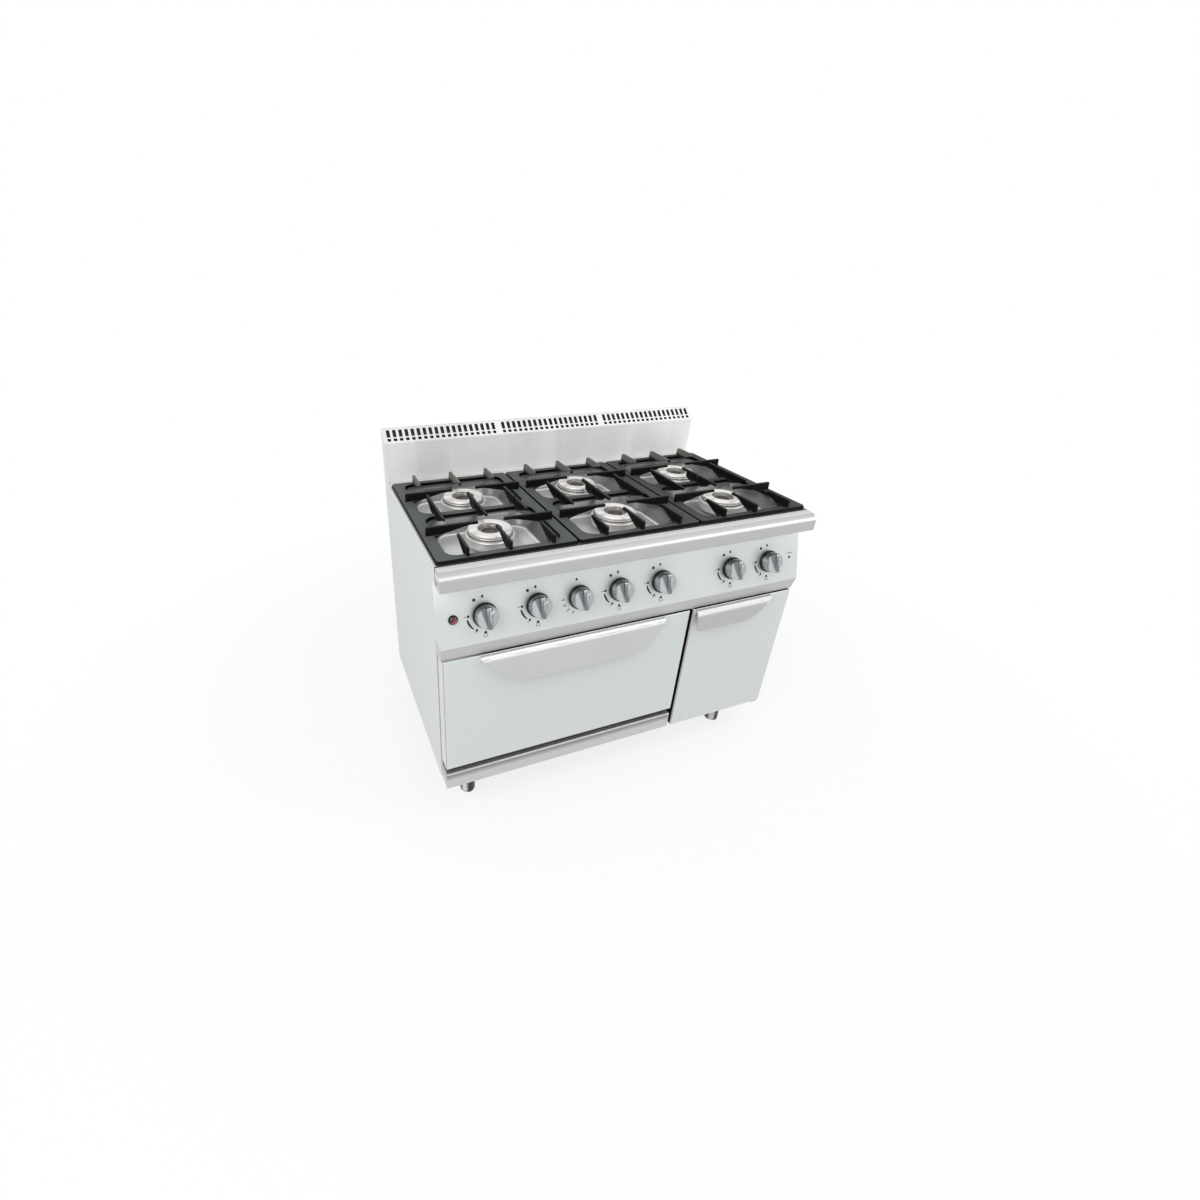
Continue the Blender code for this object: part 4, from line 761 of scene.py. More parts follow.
def prism(bm, outline, x):
    """A closed solid from a (depth, height) outline between two x places."""
    ends = [[bm.verts.new((place, d, z)) for d, z in outline] for place in x]
    bm.faces.new(ends[0])
    bm.faces.new(ends[1][::-1])
    bridge(bm, *ends)


def round_ends(bm):
    """Rounds the folds between a prism's skin and its two end plates."""
    bmesh.ops.recalc_face_normals(bm, faces=bm.faces)
    plates = [f for f in bm.faces if abs(f.normal.x) > 0.99]
    edges = {e for f in plates for e in f.edges}
    bmesh.ops.bevel(bm, geom=list(edges), offset=END_ROUND, segments=3, profile=0.5, affect="EDGES")


def largest(bm, way):
    """The largest face that looks straight up (1) or down (-1)."""
    return max((f for f in bm.faces if f.normal.z * way > 0.99), key=lambda f: f.calc_area())


outline = [(wd1, wz1 - RIM), (wd1, wz1)]
outline += arc_points((wd0 + NOSE_ROUND, wz1 - NOSE_ROUND), NOSE_ROUND, 90, 180, 12)
outline += arc_points((wd0 + LOW_BEND, wz0 + LOW_BEND), LOW_BEND, 180, 270, 4)
outline += [(NOSE_BACK, wz0), (NOSE_BACK, wz1 - RIM)]
bm = bmesh.new()
prism(bm, outline, (wx0, wx1))
round_ends(bm)
flat = largest(bm, 1)
border = list(flat.edges)
bmesh.ops.delete(bm, geom=[flat, largest(bm, -1)], context="FACES_ONLY")
BURNERS = range(1, 7)
sunk = []
for k in BURNERS:
    home = upright(f"burner_body_{k}")
    loops = []
    for inset, drop in BASIN_WALL:
        u, v = BASIN_HALF[0] - inset, BASIN_HALF[1] - inset
        ring = corner_points((-u, u), (-v, v), BASIN_CORNER - inset, BASIN_STEPS)
        loops.append([bm.verts.new(home @ Vector((a, b, wz1 - drop))) for a, b in ring])
    hole = [Vector((a, b, 0)).normalized() * BURNER_HOLE for a, b in ring]
    loops.append([bm.verts.new(home @ Vector((a.x, a.y, wz1 - BASIN_DEPTH))) for a in hole])
    for upper, lower in zip(loops, loops[1:]):
        sunk += bridge(bm, lower, upper)
    border += [bm.edges.get(pair) for pair in zip(loops[0], loops[0][1:] + loops[0][:1])]
filled = bmesh.ops.triangle_fill(bm, use_beauty=True, edges=border)
sunk += [f for f in filled["geom"] if isinstance(f, bmesh.types.BMFace)]
bm.normal_update()
for face in sunk:
    if face.normal.z < 0:
        face.normal_flip()
top = shape("worktop_pressed", bm, TOP_STEEL, outward=False)
thicken(top, TOP_SHEET)
settle(top, 30)
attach(top, "casing")
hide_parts("worktop")


# Burners: nickel-bright cast bodies turned on their outside, with a ring of drilled flame
# ports under the rim, and loose ring caps with small notches on their crown.
def turned_alloy(name, colour, roughness, ports_z, throat):
    """Turned casting: tool rings, heat tint, a dull belt at its ports and a dark throat."""
    made, place = finish(name, {"Metallic": 0.6})
    uv = place.node("ShaderNodeTexCoord", {}, {}, 2)
    rings = uv.streaks((1.5, 260, 1))
    heat = place.noise(16, detail=3)
    belt = (place.axis(2) - ports_z).band((-0.0072, -0.0064), (-0.0008, 0))
    warm = heat.between(shade(colour, 0.92), shade(colour, 1.05))
    plain = (rings * 0.2).between(warm, shade(colour, 0.75))
    plain = belt.between(plain, shade(colour, 0.80))
    hollow = uv.axis(1).step(throat, throat + 0.03)
    hollow.between(plain, (0.20, 0.18, 0.165, 1)).feed("Base Color")
    (roughness + rings * 0.05 + heat * 0.10).feed("Roughness")
    rings.bump(0.03, 0.0002)
    return made


PORT_HOLE_SHADE = painted("sooted_port_metal", (0.004, 0.004, 0.004))
GAP = 0.0003
RIM_HEIGHT, CAP_HEIGHT, TUBE = 0.042, 0.0085, 0.050
BURNER_STEPS = 72
NOTCHES, NOTCH_STEPS, NOTCH_DEEP = 2, 3, 0.0022
NOTCH_REACH = (0.044, 0.0615)
basin_floor = wz1 - BASIN_DEPTH + GAP
rim_z = basin_floor + RIM_HEIGHT
seat = rim_z + GAP
crown = seat + CAP_HEIGHT
CAP_BRIGHT, BODY_BRIGHT = (0.90, 0.89, 0.87), (0.80, 0.775, 0.745)
CAP_THROAT, BODY_THROAT = 0.865, 0.56
NO_PORTS = -1
CAP_ALLOY = turned_alloy("turned_cap_alloy", CAP_BRIGHT, 0.27, NO_PORTS, CAP_THROAT)
BODY_ALLOY = turned_alloy("turned_body_alloy", BODY_BRIGHT, 0.34, rim_z, BODY_THROAT)


def raised(profile, z):
    """A turning profile lifted to a height."""
    return [(radius, height + z) for radius, height in profile]


foot = [(0.022, -TUBE), (0.028, -TUBE), (0.028, -0.0005), (0.0305, 0), (0.052, 0), (0.061, 0.002)]
foot += [(0.0668, 0.0065), (0.0700, 0.0125), (0.0712, 0.018)]
rim = [(0.0712, -0.0092), (0.0702, -0.0078), (0.068, -0.0070), (0.0634, -0.0066), (0.0634, -0.0012)]
rim += [(0.0626, 0), (0.0286, 0), (0.0286, 0.0006), (0.0278, 0.001), (0.0235, 0.001)]
throat = [(0.022, -0.0005), (0.0216, -0.009), (0.007, -0.010), (0.007, -0.012), (0.0216, -0.012)]
body = raised(foot, basin_floor) + raised(rim + throat, rim_z)
ring = [(0.063, -0.0035), (0.062, -0.0016), (0.060, -0.0005), (0.057, 0), (0.046, 0), (0.0385, 0)]
ring += [(0.0355, -0.0008), (0.0325, -0.0030), (0.030, -0.0060)]
cap = raised([(0.029, 0), (0.0622, 0), (0.063, 0.0008)], seat) + raised(ring, crown)
for k in BURNERS:
    home = upright(f"burner_body_{k}")
    made = turned_piece(f"burner_body_{k}_turned", BODY_ALLOY, body, BURNER_STEPS, home, True, 30)
    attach(made, "casing")
    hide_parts(f"burner_body_{k}")
    bm = bmesh.new()
    turned(bm, cap, BURNER_STEPS, home, closed=True)
    for vert in bm.verts:
        out = vert.co - home.translation
        step = round(math.atan2(out.y, out.x) / math.tau * BURNER_STEPS) % (BURNER_STEPS // NOTCHES)
        inside = NOTCH_REACH[0] < math.hypot(out.x, out.y) < NOTCH_REACH[1]
        if inside and step < NOTCH_STEPS and vert.co.z > (seat + crown) / 2:
            vert.co.z -= NOTCH_DEEP
    made = settle(shape(f"burner_cap_{k}_turned", bm, CAP_ALLOY), 30)
    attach(made, f"burner_cap_{k}")
    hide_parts(f"burner_cap_{k}")
kinds = {"Ports": "Int", "Ring Radius": "Float", "Port Radius": "Float", "Port Depth": "Float"}
port_tree, given = node_tree("flame_ports", kinds)
ring = {"Vertices": given["Ports"], "Radius": given["Ring Radius"]}
ring = given["Geometry"].node("GeometryNodeMeshCircle", {}, ring)
drill = {"Vertices": 8, "Radius": given["Port Radius"], "Depth": given["Port Depth"]}
drill = ring.node("GeometryNodeMeshCylinder", {}, drill)
outward = {"Vector": ring.node("GeometryNodeInputPosition")}
radial = ring.node("FunctionNodeAlignRotationToVector", {"axis": "Z"}, outward)
ports = {"Points": ring, "Instance": drill, "Rotation": radial}
ports = ring.node("GeometryNodeInstanceOnPoints", {}, ports)
every = {"Points": given["Geometry"], "Instance": ports}
end_tree(ring.node("GeometryNodeInstanceOnPoints", {}, every), given)
# Dark discs on the belt under each rim stand for the drilled port holes, as painted shade.
PORTS_DROP = 0.0034
bm = bmesh.new()
for k in BURNERS:
    bm.verts.new(upright(f"burner_body_{k}") @ Vector((0, 0, rim_z - PORTS_DROP)))
made = shape("burner_flame_ports", bm, PORT_HOLE_SHADE, outward=False)
sizes = {"Ports": 56, "Ring Radius": 0.0632, "Port Radius": 0.0023, "Port Depth": 0.0018}
grow(made, port_tree, sizes | {"Finish": PORT_HOLE_SHADE})
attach(made, "casing")


# Pan grates: black cast iron, each one casting: a bordered plate with two round-cornered
# openings, short pads under it and upright fins whose tops carry the pans.
BACK_FINS = (0.480, 0.495)


def cast_iron(name, plate_top, fin_top):
    """Sand-cast iron: black and gritty, with painted light: slate grey on its upper faces, darker to the
    right, and paler on the back fins.
    """
    made, place = finish(name, {"Specular IOR Level": 0.08})
    grit = place.noise(500, detail=2)
    patches = place.noise(11, detail=3)
    rise = place.axis(2) - plate_top
    plate = rise.band((-0.0009, -0.0002), (0.0004, 0.001))
    ridge = place.axis(2).step(fin_top - 0.0035, fin_top - 0.0005)
    lit_back_fins = (place.axis(1) - door_face).step(*BACK_FINS) * rise.step(0.002, 0.010)
    black = grit.between((0.003, 0.003, 0.003, 1), (0.007, 0.007, 0.007, 1))
    black = (lit_back_fins * 0.8).between(black, (0.20, 0.20, 0.18, 1))
    lit_slate = patches.between((0.085, 0.093, 0.093, 1), (0.125, 0.135, 0.134, 1))
    # Painted shade: the lit upper faces grow darker towards the right.
    lit_slate = place.axis(0).step(-0.4, 0.5).between(lit_slate, (0.052, 0.056, 0.056, 1))
    crest = lit_back_fins.between((0.040, 0.043, 0.043, 1), (0.17, 0.17, 0.155, 1))
    ridge.between(plate.between(black, lit_slate), crest).feed("Base Color")
    (0.46 + grit * 0.1 + patches * 0.12).feed("Roughness")
    (grit * 0.7 + patches * 0.3).bump(0.15, 0.0004)
    return made


PLATE, PLATE_DRAFT, PLATE_CORNER = 0.0095, 0.003, 0.008
BORDER_X, BORDER_D, CROSSBAR = 0.034, 0.022, 0.022
OPEN_CORNER, OPEN_STEPS, PLATE_STEPS = 0.035, 8, 4
FIN_ROOT, FIN_TOP, FIN_SINK = 0.0042, 0.0033, 0.003
FIN_TIP, FIN_EASE, FIN_LEVEL, SHORT_LEVEL = 0.009, 0.002, 0.028, 0.004
FIN_CLEAR, FIN_SHORT, FIN_OFFSET = 0.038, 0.090, 0.124
FIN_HEEL, FRONT_HEEL, BACK_HEEL = 0.030, 0.003, 0.009
KNEE_RUN, KNEE_RISE = 0.020, 0.008
FRONT_SHIFT = {-1: 0.011, 0: 0.003, 1: 0.002}
SIDE_ROOT, EDGE_ROOT = 0.012, 0.004
PAD, PAD_INSET, PAD_OVERLAP = 0.020, 0.006, 0.002
GRATE_FOOT, CAST_ROUND = 0.0018, 0.0014
grate_low, grate_high = span("grate_left", 2)
GRATE_IRON = cast_iron("black_cast_iron", grate_low + GRATE_FOOT + PLATE, grate_high)


def fin(bm, start, end, across, way, z, heel=FRONT_HEEL, level=FIN_LEVEL):
    """One upright fin from its root on the border to its tip, thinner towards its top."""
    low, high = z
    inward = math.copysign(1, end - start)
    knee = start + inward * FIN_HEEL
    points = [(start, low), (start, high - heel), (start + inward * heel * 0.3, high - heel * 0.3)]
    points += [(start + inward * heel, high), (end - inward * FIN_EASE, high), (end, high - FIN_EASE)]
    points += [(end, high - FIN_TIP), (end - inward * level, high - FIN_TIP)]
    points += [(knee + inward * KNEE_RUN, low + KNEE_RISE), (knee, low)]
    sides = []
    for side in (-1, 1):
        ring = []
        for along, height in points:
            half = FIN_ROOT + (FIN_TOP - FIN_ROOT) * (height - low) / (high - low)
            spot = (across + side * half, along) if way == "d" else (along, across + side * half)
            ring.append(bm.verts.new((*spot, height)))
        sides.append(ring)
    bm.faces.new(sides[0])
    bm.faces.new(sides[1][::-1])
    bridge(bm, *sides)


def cast_plate(bm, x, d, z, openings):
    """A plate with a drawn-in rim, round corners and openings, closed all round."""
    holes = [corner_points(u, v, OPEN_CORNER, OPEN_STEPS) for u, v in openings]
    rings = []
    for height, inset in ((z[0], 0), (z[1], PLATE_DRAFT)):
        u, v = (x[0] + inset, x[1] - inset), (d[0] + inset, d[1] - inset)
        loops = [corner_points(u, v, PLATE_CORNER, PLATE_STEPS)] + holes
        verts = [[bm.verts.new((a, b, height)) for a, b in loop] for loop in loops]
        edges = [bm.edges.new((r[i], r[(i + 1) % len(r)])) for r in verts for i in range(len(r))]
        bmesh.ops.triangle_fill(bm, use_beauty=True, edges=edges)
        rings.append(verts)
    for low, high in zip(*rings):
        bridge(bm, low, high)


rows = [middle(f"burner_body_{k}").y - door_face for k in BURNERS]
rows = (min(rows), max(rows))
for node in ("grate_left", "grate_middle", "grate_right"):
    (x0, x1), (d0, d1), (z0, z1) = extents(node)
    centre, half_d = (x0 + x1) / 2, (d0 + d1) / 2
    plate = (z0 + GRATE_FOOT, z0 + GRATE_FOOT + PLATE)
    open_x = (x0 + BORDER_X, x1 - BORDER_X)
    openings = [(open_x, (d0 + BORDER_D, half_d - CROSSBAR / 2))]
    openings += [(open_x, (half_d + CROSSBAR / 2, d1 - BORDER_D))]
    bm = bmesh.new()
    cast_plate(bm, (x0, x1), (d0, d1), plate, openings)
    for x in (x0 + PAD_INSET, x1 - PAD_INSET - PAD):
        for d in (d0 + PAD_INSET, half_d - PAD / 2, d1 - PAD_INSET - PAD):
            add_box(bm, (x, x + PAD), (d, d + PAD), (z0, plate[0] + PAD_OVERLAP))
    z = (plate[0] + FIN_SINK, z1)
    for edge, row in ((d0, rows[0]), (d1, rows[1])):
        inward = math.copysign(1, row - edge)
        fin(bm, x0 + SIDE_ROOT, centre - FIN_CLEAR, row, "x", z)
        fin(bm, x1 - SIDE_ROOT, centre + FIN_CLEAR, row, "x", z)
        for place in (-1, 0, 1):
            across = centre + place * FIN_OFFSET
            shift, heel = (FRONT_SHIFT[place], FRONT_HEEL) if edge == d0 else (0, BACK_HEEL)
            level = SHORT_LEVEL if place else FIN_LEVEL
            root = edge + inward * EDGE_ROOT
            tip = root + inward * FIN_SHORT if place else row - inward * FIN_CLEAR
            fin(bm, root, tip, across + shift, "d", z, heel, level)
            root = half_d - inward * EDGE_ROOT
            tip = root - inward * FIN_SHORT if place else row + inward * FIN_CLEAR
            fin(bm, root, tip, across, "d", z, level=level)
    made = shape(node + "_cast", bm, GRATE_IRON)
    round_edges(made, CAST_ROUND)
    settle(made)
    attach(made, node)
    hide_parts(node)

# Flue upstand: a folded steel box behind the burners, its front leaning back at the top as a
# rounded slope over a seam. Two rows of slots in three groups let the oven's flue gas out, and
# a dark sheet inside behind them is painted shade seen through the slots.
UPSTAND_STEEL, place = finish("brushed_upstand", {"Metallic": 0.2})
lines = place.streaks(ALONG_Z)
clouds = place.noise(5, (2.2, 1, 0.6), 4).step(0.38, 0.66)
# Painted light: both tones grow lighter towards the right, against the lamps' fall-off there.
across = place.axis(0).step(-0.6, 0.6)
dull = across.between((0.72, 0.72, 0.715, 1), (0.87, 0.87, 0.865, 1))
tone = clouds.between(dull, across.between((0.80, 0.80, 0.785, 1), (0.96, 0.96, 0.945, 1)))
(lines * 0.08).between(tone, (0.5, 0.5, 0.5, 1)).feed("Base Color")
(0.46 + lines * 0.06 + clouds * 0.04).feed("Roughness")
lines.bump(0.03, 0.0002)
(ux0, ux1), (ud0, ud1), (uz0, uz1) = extents("flue_upstand")
SLOPE, SLOPE_ROUND, BACK_ROUND = 0.0355, 0.012, 0.002
SEAM_DROP, SEAM_STEP, UPSTAND_SHEET = 0.010, 0.0009, 0.0015
turn = SLOPE_ROUND * math.tan(math.radians(22.5))
seam_z = uz1 - SLOPE - SEAM_DROP
outline = [(ud0 + SEAM_STEP, uz0), (ud0 + SEAM_STEP, seam_z), (ud0, seam_z)]
outline += arc_points((ud0 + SLOPE_ROUND, uz1 - SLOPE - turn), SLOPE_ROUND, 180, 135, 5)
outline += arc_points((ud0 + SLOPE + turn, uz1 - SLOPE_ROUND), SLOPE_ROUND, 135, 90, 5)
outline += arc_points((ud1 - BACK_ROUND, uz1 - BACK_ROUND), BACK_ROUND, 90, 0, 3)
outline += [(ud1, uz0)]
bm = bmesh.new()
prism(bm, outline, (ux0, ux1))
round_ends(bm)
bmesh.ops.delete(bm, geom=[largest(bm, -1)], context="FACES_ONLY")
upstand = shape("flue_upstand_folded", bm, UPSTAND_STEEL)
thicken(upstand, UPSTAND_SHEET)
settle(upstand, 30, weigh=False)
kinds = dict.fromkeys(("Groups", "Slots"), "Int")
kinds |= dict.fromkeys(("Group Pitch", "Slot Pitch", "Slot Width", "Slot Length", "Corner"), "Float")
kinds |= dict.fromkeys(("Middle", "Tilt"), "Vector")
slot_tree, given = node_tree("slot_rows", kinds)
PUNCH = 0.006
skin = given["Geometry"]
quad = {"Width": given["Slot Width"], "Height": given["Slot Length"]}
quad = skin.node("GeometryNodeCurvePrimitiveQuadrilateral", {}, quad)
rounded = {"Curve": quad, "Count": 3, "Radius": given["Corner"]}
rounded = skin.node("GeometryNodeFilletCurve", {"mode": "POLY"}, rounded)
path = skin.node("GeometryNodeCurvePrimitiveLine", {}, {"Start": (0, 0, -PUNCH), "End": (0, 0, PUNCH)})
punch = {"Curve": path, "Profile Curve": rounded, "Fill Caps": True}
punch = skin.node("GeometryNodeCurveToMesh", {}, punch)


def line_of(count, pitch):
    """Points in a row along X, centred on the origin."""
    offset = skin.node("ShaderNodeCombineXYZ", {}, {"X": pitch})
    start = skin.node("ShaderNodeCombineXYZ", {}, {"X": (1 - count) * pitch * 0.5})
    line = {"Count": count, "Start Location": start, "Offset": offset}
    return skin.node("GeometryNodeMeshLine", {}, line)


row = {"Points": line_of(given["Slots"], given["Slot Pitch"]), "Instance": punch}
row = skin.node("GeometryNodeInstanceOnPoints", {}, row)
groups = {"Points": line_of(given["Groups"], given["Group Pitch"]), "Instance": row}
groups = skin.node("GeometryNodeInstanceOnPoints", {}, groups)
tilted = {"Geometry": groups, "Translation": given["Middle"], "Rotation": given["Tilt"]}
tilted = skin.node("GeometryNodeTransform", {}, tilted)
punches = skin.node("GeometryNodeRealizeInstances", {}, {"Geometry": tilted})
cut = {"Mesh 1": skin, "Mesh 2": punches}
end_tree(skin.node("GeometryNodeMeshBoolean", {"operation": "DIFFERENCE"}, cut), given)
slope_mid = Vector((0, ud0 + SLOPE / 2 + door_face, uz1 - SLOPE / 2))
up_slope = Vector((0, math.sqrt(0.5), math.sqrt(0.5)))
sizes = {"Groups": 3, "Group Pitch": 0.4, "Slots": 19, "Slot Pitch": 0.0202, "Slot Width": 0.0118}
sizes |= {"Corner": 0.0018, "Tilt": (math.radians(45), 0, 0), "Finish": UPSTAND_STEEL}
LONG_ROW, SHORT_ROW = (0.0065, 0.027), (-0.0165, 0.0105)
for climb, length in (LONG_ROW, SHORT_ROW):
    sizes |= {"Middle": tuple(slope_mid + up_slope * climb), "Slot Length": length}
    grow(upstand, slot_tree, sizes, 30)
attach(upstand, "casing")
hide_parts("flue_upstand")
# A dark sheet just inside the slope, as painted shade seen through the slots.
SLOT_SHADE_GAP, SLOT_SHADE_SHEET, HEAD_BACK, HEAD_DROP = 0.006, 0.001, 0.002, 0.010
foot_d, foot_z = ud0 + SLOT_SHADE_GAP, uz1 - SLOPE - SLOT_SHADE_GAP
head_d, head_z = ud0 + SLOPE + HEAD_BACK, uz1 - HEAD_DROP
outline = [(foot_d, foot_z), (head_d, head_z), (head_d + SLOT_SHADE_SHEET, head_z - SLOT_SHADE_SHEET)]
outline += [(foot_d + SLOT_SHADE_SHEET, foot_z - SLOT_SHADE_SHEET)]
bm = bmesh.new()
prism(bm, outline, (ux0 + SLOT_SHADE_GAP, ux1 - SLOT_SHADE_GAP))
slot_shade = settle(shape("flue_baffle", bm, SHADE_DARK_STEEL))
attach(slot_shade, "casing")

# Oven door: a pale folded tray over an inner liner, hinged on two fixed arms at its foot.
# Its pull is one grey sheet folded over at the top and flared out below, drawn in at the sides.
EDGE_GREY = (0.70, 0.69, 0.69)


def pull_steel(name, grey, painted_gleam, top_z, rise, fall):
    """Satin sheet with a painted highlight along its bend, between two drops below the top, and painted
    shade just under the top.
    """
    made, place = finish(name, {"Metallic": 0.5})
    drop = top_z - place.axis(2)
    bend = drop.band(rise, fall)
    clouds = place.noise(6, (1, 1, 2), 3)
    tone = clouds.between(shade(grey, 0.95), shade(grey, 1.05))
    tone = drop.step(0.003, 0.008).between(shade(grey, 0.85), tone)
    bend.between(tone, shade(painted_gleam, 1)).feed("Base Color")
    (0.32 + clouds * 0.08).feed("Roughness")
    place.streaks(ALONG_X).bump(0.01, 0.0001)
    return made


def door_sheet(name, x, z):
    """Pale satin sheet, a lighter and more neutral grey along its four folds."""
    made, place = finish(name, {"Metallic": 0.3})
    lines = place.streaks(ALONG_X)
    across, height = place.axis(0), place.axis(2)
    inside = across.band((x[0] + 0.003, x[0] + 0.012), (x[1] - 0.012, x[1] - 0.003))
    inside = inside * height.step(z[0] + 0.003, z[0] + 0.012)
    face = lines.between(shade(PALE, 0.985), shade(PALE, 1.015))
    sheet = inside.between(shade(EDGE_GREY, 1), face)
    line = (across - x[0]).band((0.0002, 0.0009), (0.0022, 0.0032))
    (line * 0.6).between(sheet, shade(EDGE_GREY, 0.25)).feed("Base Color")
    (0.38 + lines * 0.08).feed("Roughness")
    lines.bump(0.08, 0.0002)
    return made


def cut_boxes(obj, boxes):
    """Cuts boxes, given as x, depth and height spans, out of an object."""
    bm = bmesh.new()
    for spans in boxes:
        add_box(bm, *spans)
    tool = shape(obj.name + "_cut", bm, obj.data.materials[0])
    obj.modifiers.new("cut", "BOOLEAN").object = tool
    settle(obj)
    bpy.data.objects.remove(tool)


DOOR_ROUND = 0.004
HINGE_SLOT, HINGE_INSET, HINGE_DEPTH, CUT_REACH = 0.0114, 0.090, (0.0035, 0.06), 0.01
ox, od, oz = extents("oven_door")
oven_sheet = door_sheet("oven_door_sheet", ox, oz)
oven_door = folded_tray("oven_door_tray", oven_sheet, (ox, od, oz), REARWARD, DOOR_ROUND)


def about(place, reach):
    """A span that reaches as far on both sides of a place."""
    return place - reach, place + reach


hinges = [about(x, HINGE_SLOT / 2) for x in (ox[0] + HINGE_INSET, ox[1] - HINGE_INSET)]
cut_boxes(oven_door, [(x, HINGE_DEPTH, about(oz[0], CUT_REACH)) for x in hinges])
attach(oven_door, "oven_door")
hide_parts("oven_door")
dress(GREY_STEEL, "oven_door_liner")
dress(FRAME_PAINT, "oven_hinge_arm_left", "oven_hinge_arm_right")


def corner_curve(before, at, after, reach, steps):
    """A rounded corner that leaves and meets its two sides at one reach."""
    corner = Vector(at)
    start = corner + (Vector(before) - corner).normalized() * reach
    end = corner + (Vector(after) - corner).normalized() * reach
    turns = [k / steps for k in range(steps + 1)]
    return [start * (1 - t) ** 2 + corner * (2 * t * (1 - t)) + end * t**2 for t in turns]


PULL_SHEET, PULL_BEND, PULL_FRONT, PULL_COLUMNS = 0.002, 0.0115, 0.013, 28
SHOULDER_DROP, CREST_DROP, PULL_BACK, FLANGE = 0.008, 0.001, 0.0003, 0.022
PULL_ROUND, CURVE_STEPS = 0.0006, 8


def pull(name, look, top_x, foot_x, reaches, out, drop, top_z):
    """A folded pull as rows from its lower lip, over the top bend and down behind."""
    low, shoulder, crest = top_z - drop, top_z - SHOULDER_DROP, top_z - CREST_DROP
    over = arc_points((PULL_BEND - PULL_FRONT, crest - PULL_BEND), PULL_BEND, 170, 90, 6)
    mid = sum(foot_x) / 2
    left = corner_curve((mid, low), (foot_x[0], low), (top_x[0], shoulder), reaches[0], CURVE_STEPS)
    right = corner_curve((mid, low), (foot_x[1], low), (top_x[1], shoulder), reaches[1], CURVE_STEPS)

    def edge(curve, corner_top, z):
        """Where a side lies at a height: on its corner curve, its slope or its straight top."""
        z = max(z, curve[0].y)
        for a, b in zip(curve, curve[1:]):
            if a.y <= z <= b.y and b.y > a.y:
                return a.x + (b.x - a.x) * (z - a.y) / (b.y - a.y)
        if z >= shoulder:
            return corner_top[0]
        end = curve[-1]
        return end.x + (corner_top[0] - end.x) * (z - end.y) / (corner_top[1] - end.y)

    heights = sorted({p.y for p in left + right if p.y < shoulder - 1e-4} | {shoulder})
    rows = [(-out + (over[0][0] + out) * (z - low) / (over[0][1] - low), z) for z in heights]
    rows += over + [(-PULL_BACK, crest), (-PULL_BACK, crest - FLANGE)]
    bm = bmesh.new()
    grid = []
    for d, z in rows:
        ends = edge(left, (top_x[0], shoulder), z), edge(right, (top_x[1], shoulder), z)
        if len(grid) > len(heights):
            ends = top_x
        line = [ends[0] + (ends[1] - ends[0]) * j / PULL_COLUMNS for j in range(PULL_COLUMNS + 1)]
        grid.append([bm.verts.new((x, d, z)) for x in line])
    for below, above in zip(grid, grid[1:]):
        for j in range(PULL_COLUMNS):
            bm.faces.new((below[j], below[j + 1], above[j + 1], above[j]))
    made = shape(name, bm, look, outward=False)
    thicken(made, PULL_SHEET)
    round_edges(made, PULL_ROUND)
    return settle(made)


centre = sum(ox) / 2
OVEN_GREY, OVEN_GLEAM = (0.56, 0.56, 0.555), (0.92, 0.92, 0.92)
bend = ((0.0005, 0.0065), (0.011, 0.019))
look = pull_steel("oven_pull_sheet", OVEN_GREY, OVEN_GLEAM, oz[1], *bend)
PULL_TOP, PULL_FOOT = (-0.290, 0.300), (-0.205, 0.210)
PULL_CORNERS, PULL_OUT, PULL_DROP = (0.058, 0.044), 0.030, 0.095
top_x, foot_x = [[centre + x for x in ends] for ends in (PULL_TOP, PULL_FOOT)]
made = pull("oven_pull", look, top_x, foot_x, PULL_CORNERS, PULL_OUT, PULL_DROP, oz[1])
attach(made, "oven_door")
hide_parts("oven_door_handle")

# Cupboard door: a pale folded tray of satin steel that swings on pins at its right edge, with
# a smaller folded pull whose left side is upright.
cx, cd, cz = extents("cupboard_door")
PIN_HALF, PIN_D, PIN_INSET = 0.0035, 0.012, 0.013
cupboard_sheet = door_sheet("cupboard_door_sheet", cx, cz)
cupboard_door = folded_tray("cupboard_door_tray", cupboard_sheet, (cx, cd, cz), REARWARD, DOOR_ROUND)
pin = (about(cx[1] - PIN_INSET, PIN_HALF), about(PIN_D, PIN_HALF))
cut_boxes(cupboard_door, [(*pin, about(z, CUT_REACH)) for z in cz])
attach(cupboard_door, "cupboard_door")
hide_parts("cupboard_door")
CUPBOARD_GREY, CUPBOARD_GLEAM = (0.47, 0.47, 0.467), (0.86, 0.86, 0.86)
bend = ((0.001, 0.009), (0.012, 0.024))
look = pull_steel("cupboard_pull_sheet", CUPBOARD_GREY, CUPBOARD_GLEAM, cz[1], *bend)
SMALL_INSET, SMALL_TOP, SMALL_FOOT = 0.007, 0.293, 0.222
SMALL_CORNERS, SMALL_OUT, SMALL_DROP = (0.006, 0.050), 0.025, 0.067
left = cx[0] + SMALL_INSET
top_x, foot_x = (left, left + SMALL_TOP), (left, left + SMALL_FOOT)
made = pull("cupboard_pull", look, top_x, foot_x, SMALL_CORNERS, SMALL_OUT, SMALL_DROP, cz[1])
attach(made, "cupboard_door")
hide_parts("cupboard_door_handle")


# Gap shade: thin dark strips on the tops and the facing edges of the doors, behind the oven door's
# left edge and, in grey, on the kick strip's top. They are painted shade that closes the gaps to lines.
PALE_GAP_END = (0.45, 0.45, 0.45, 1)


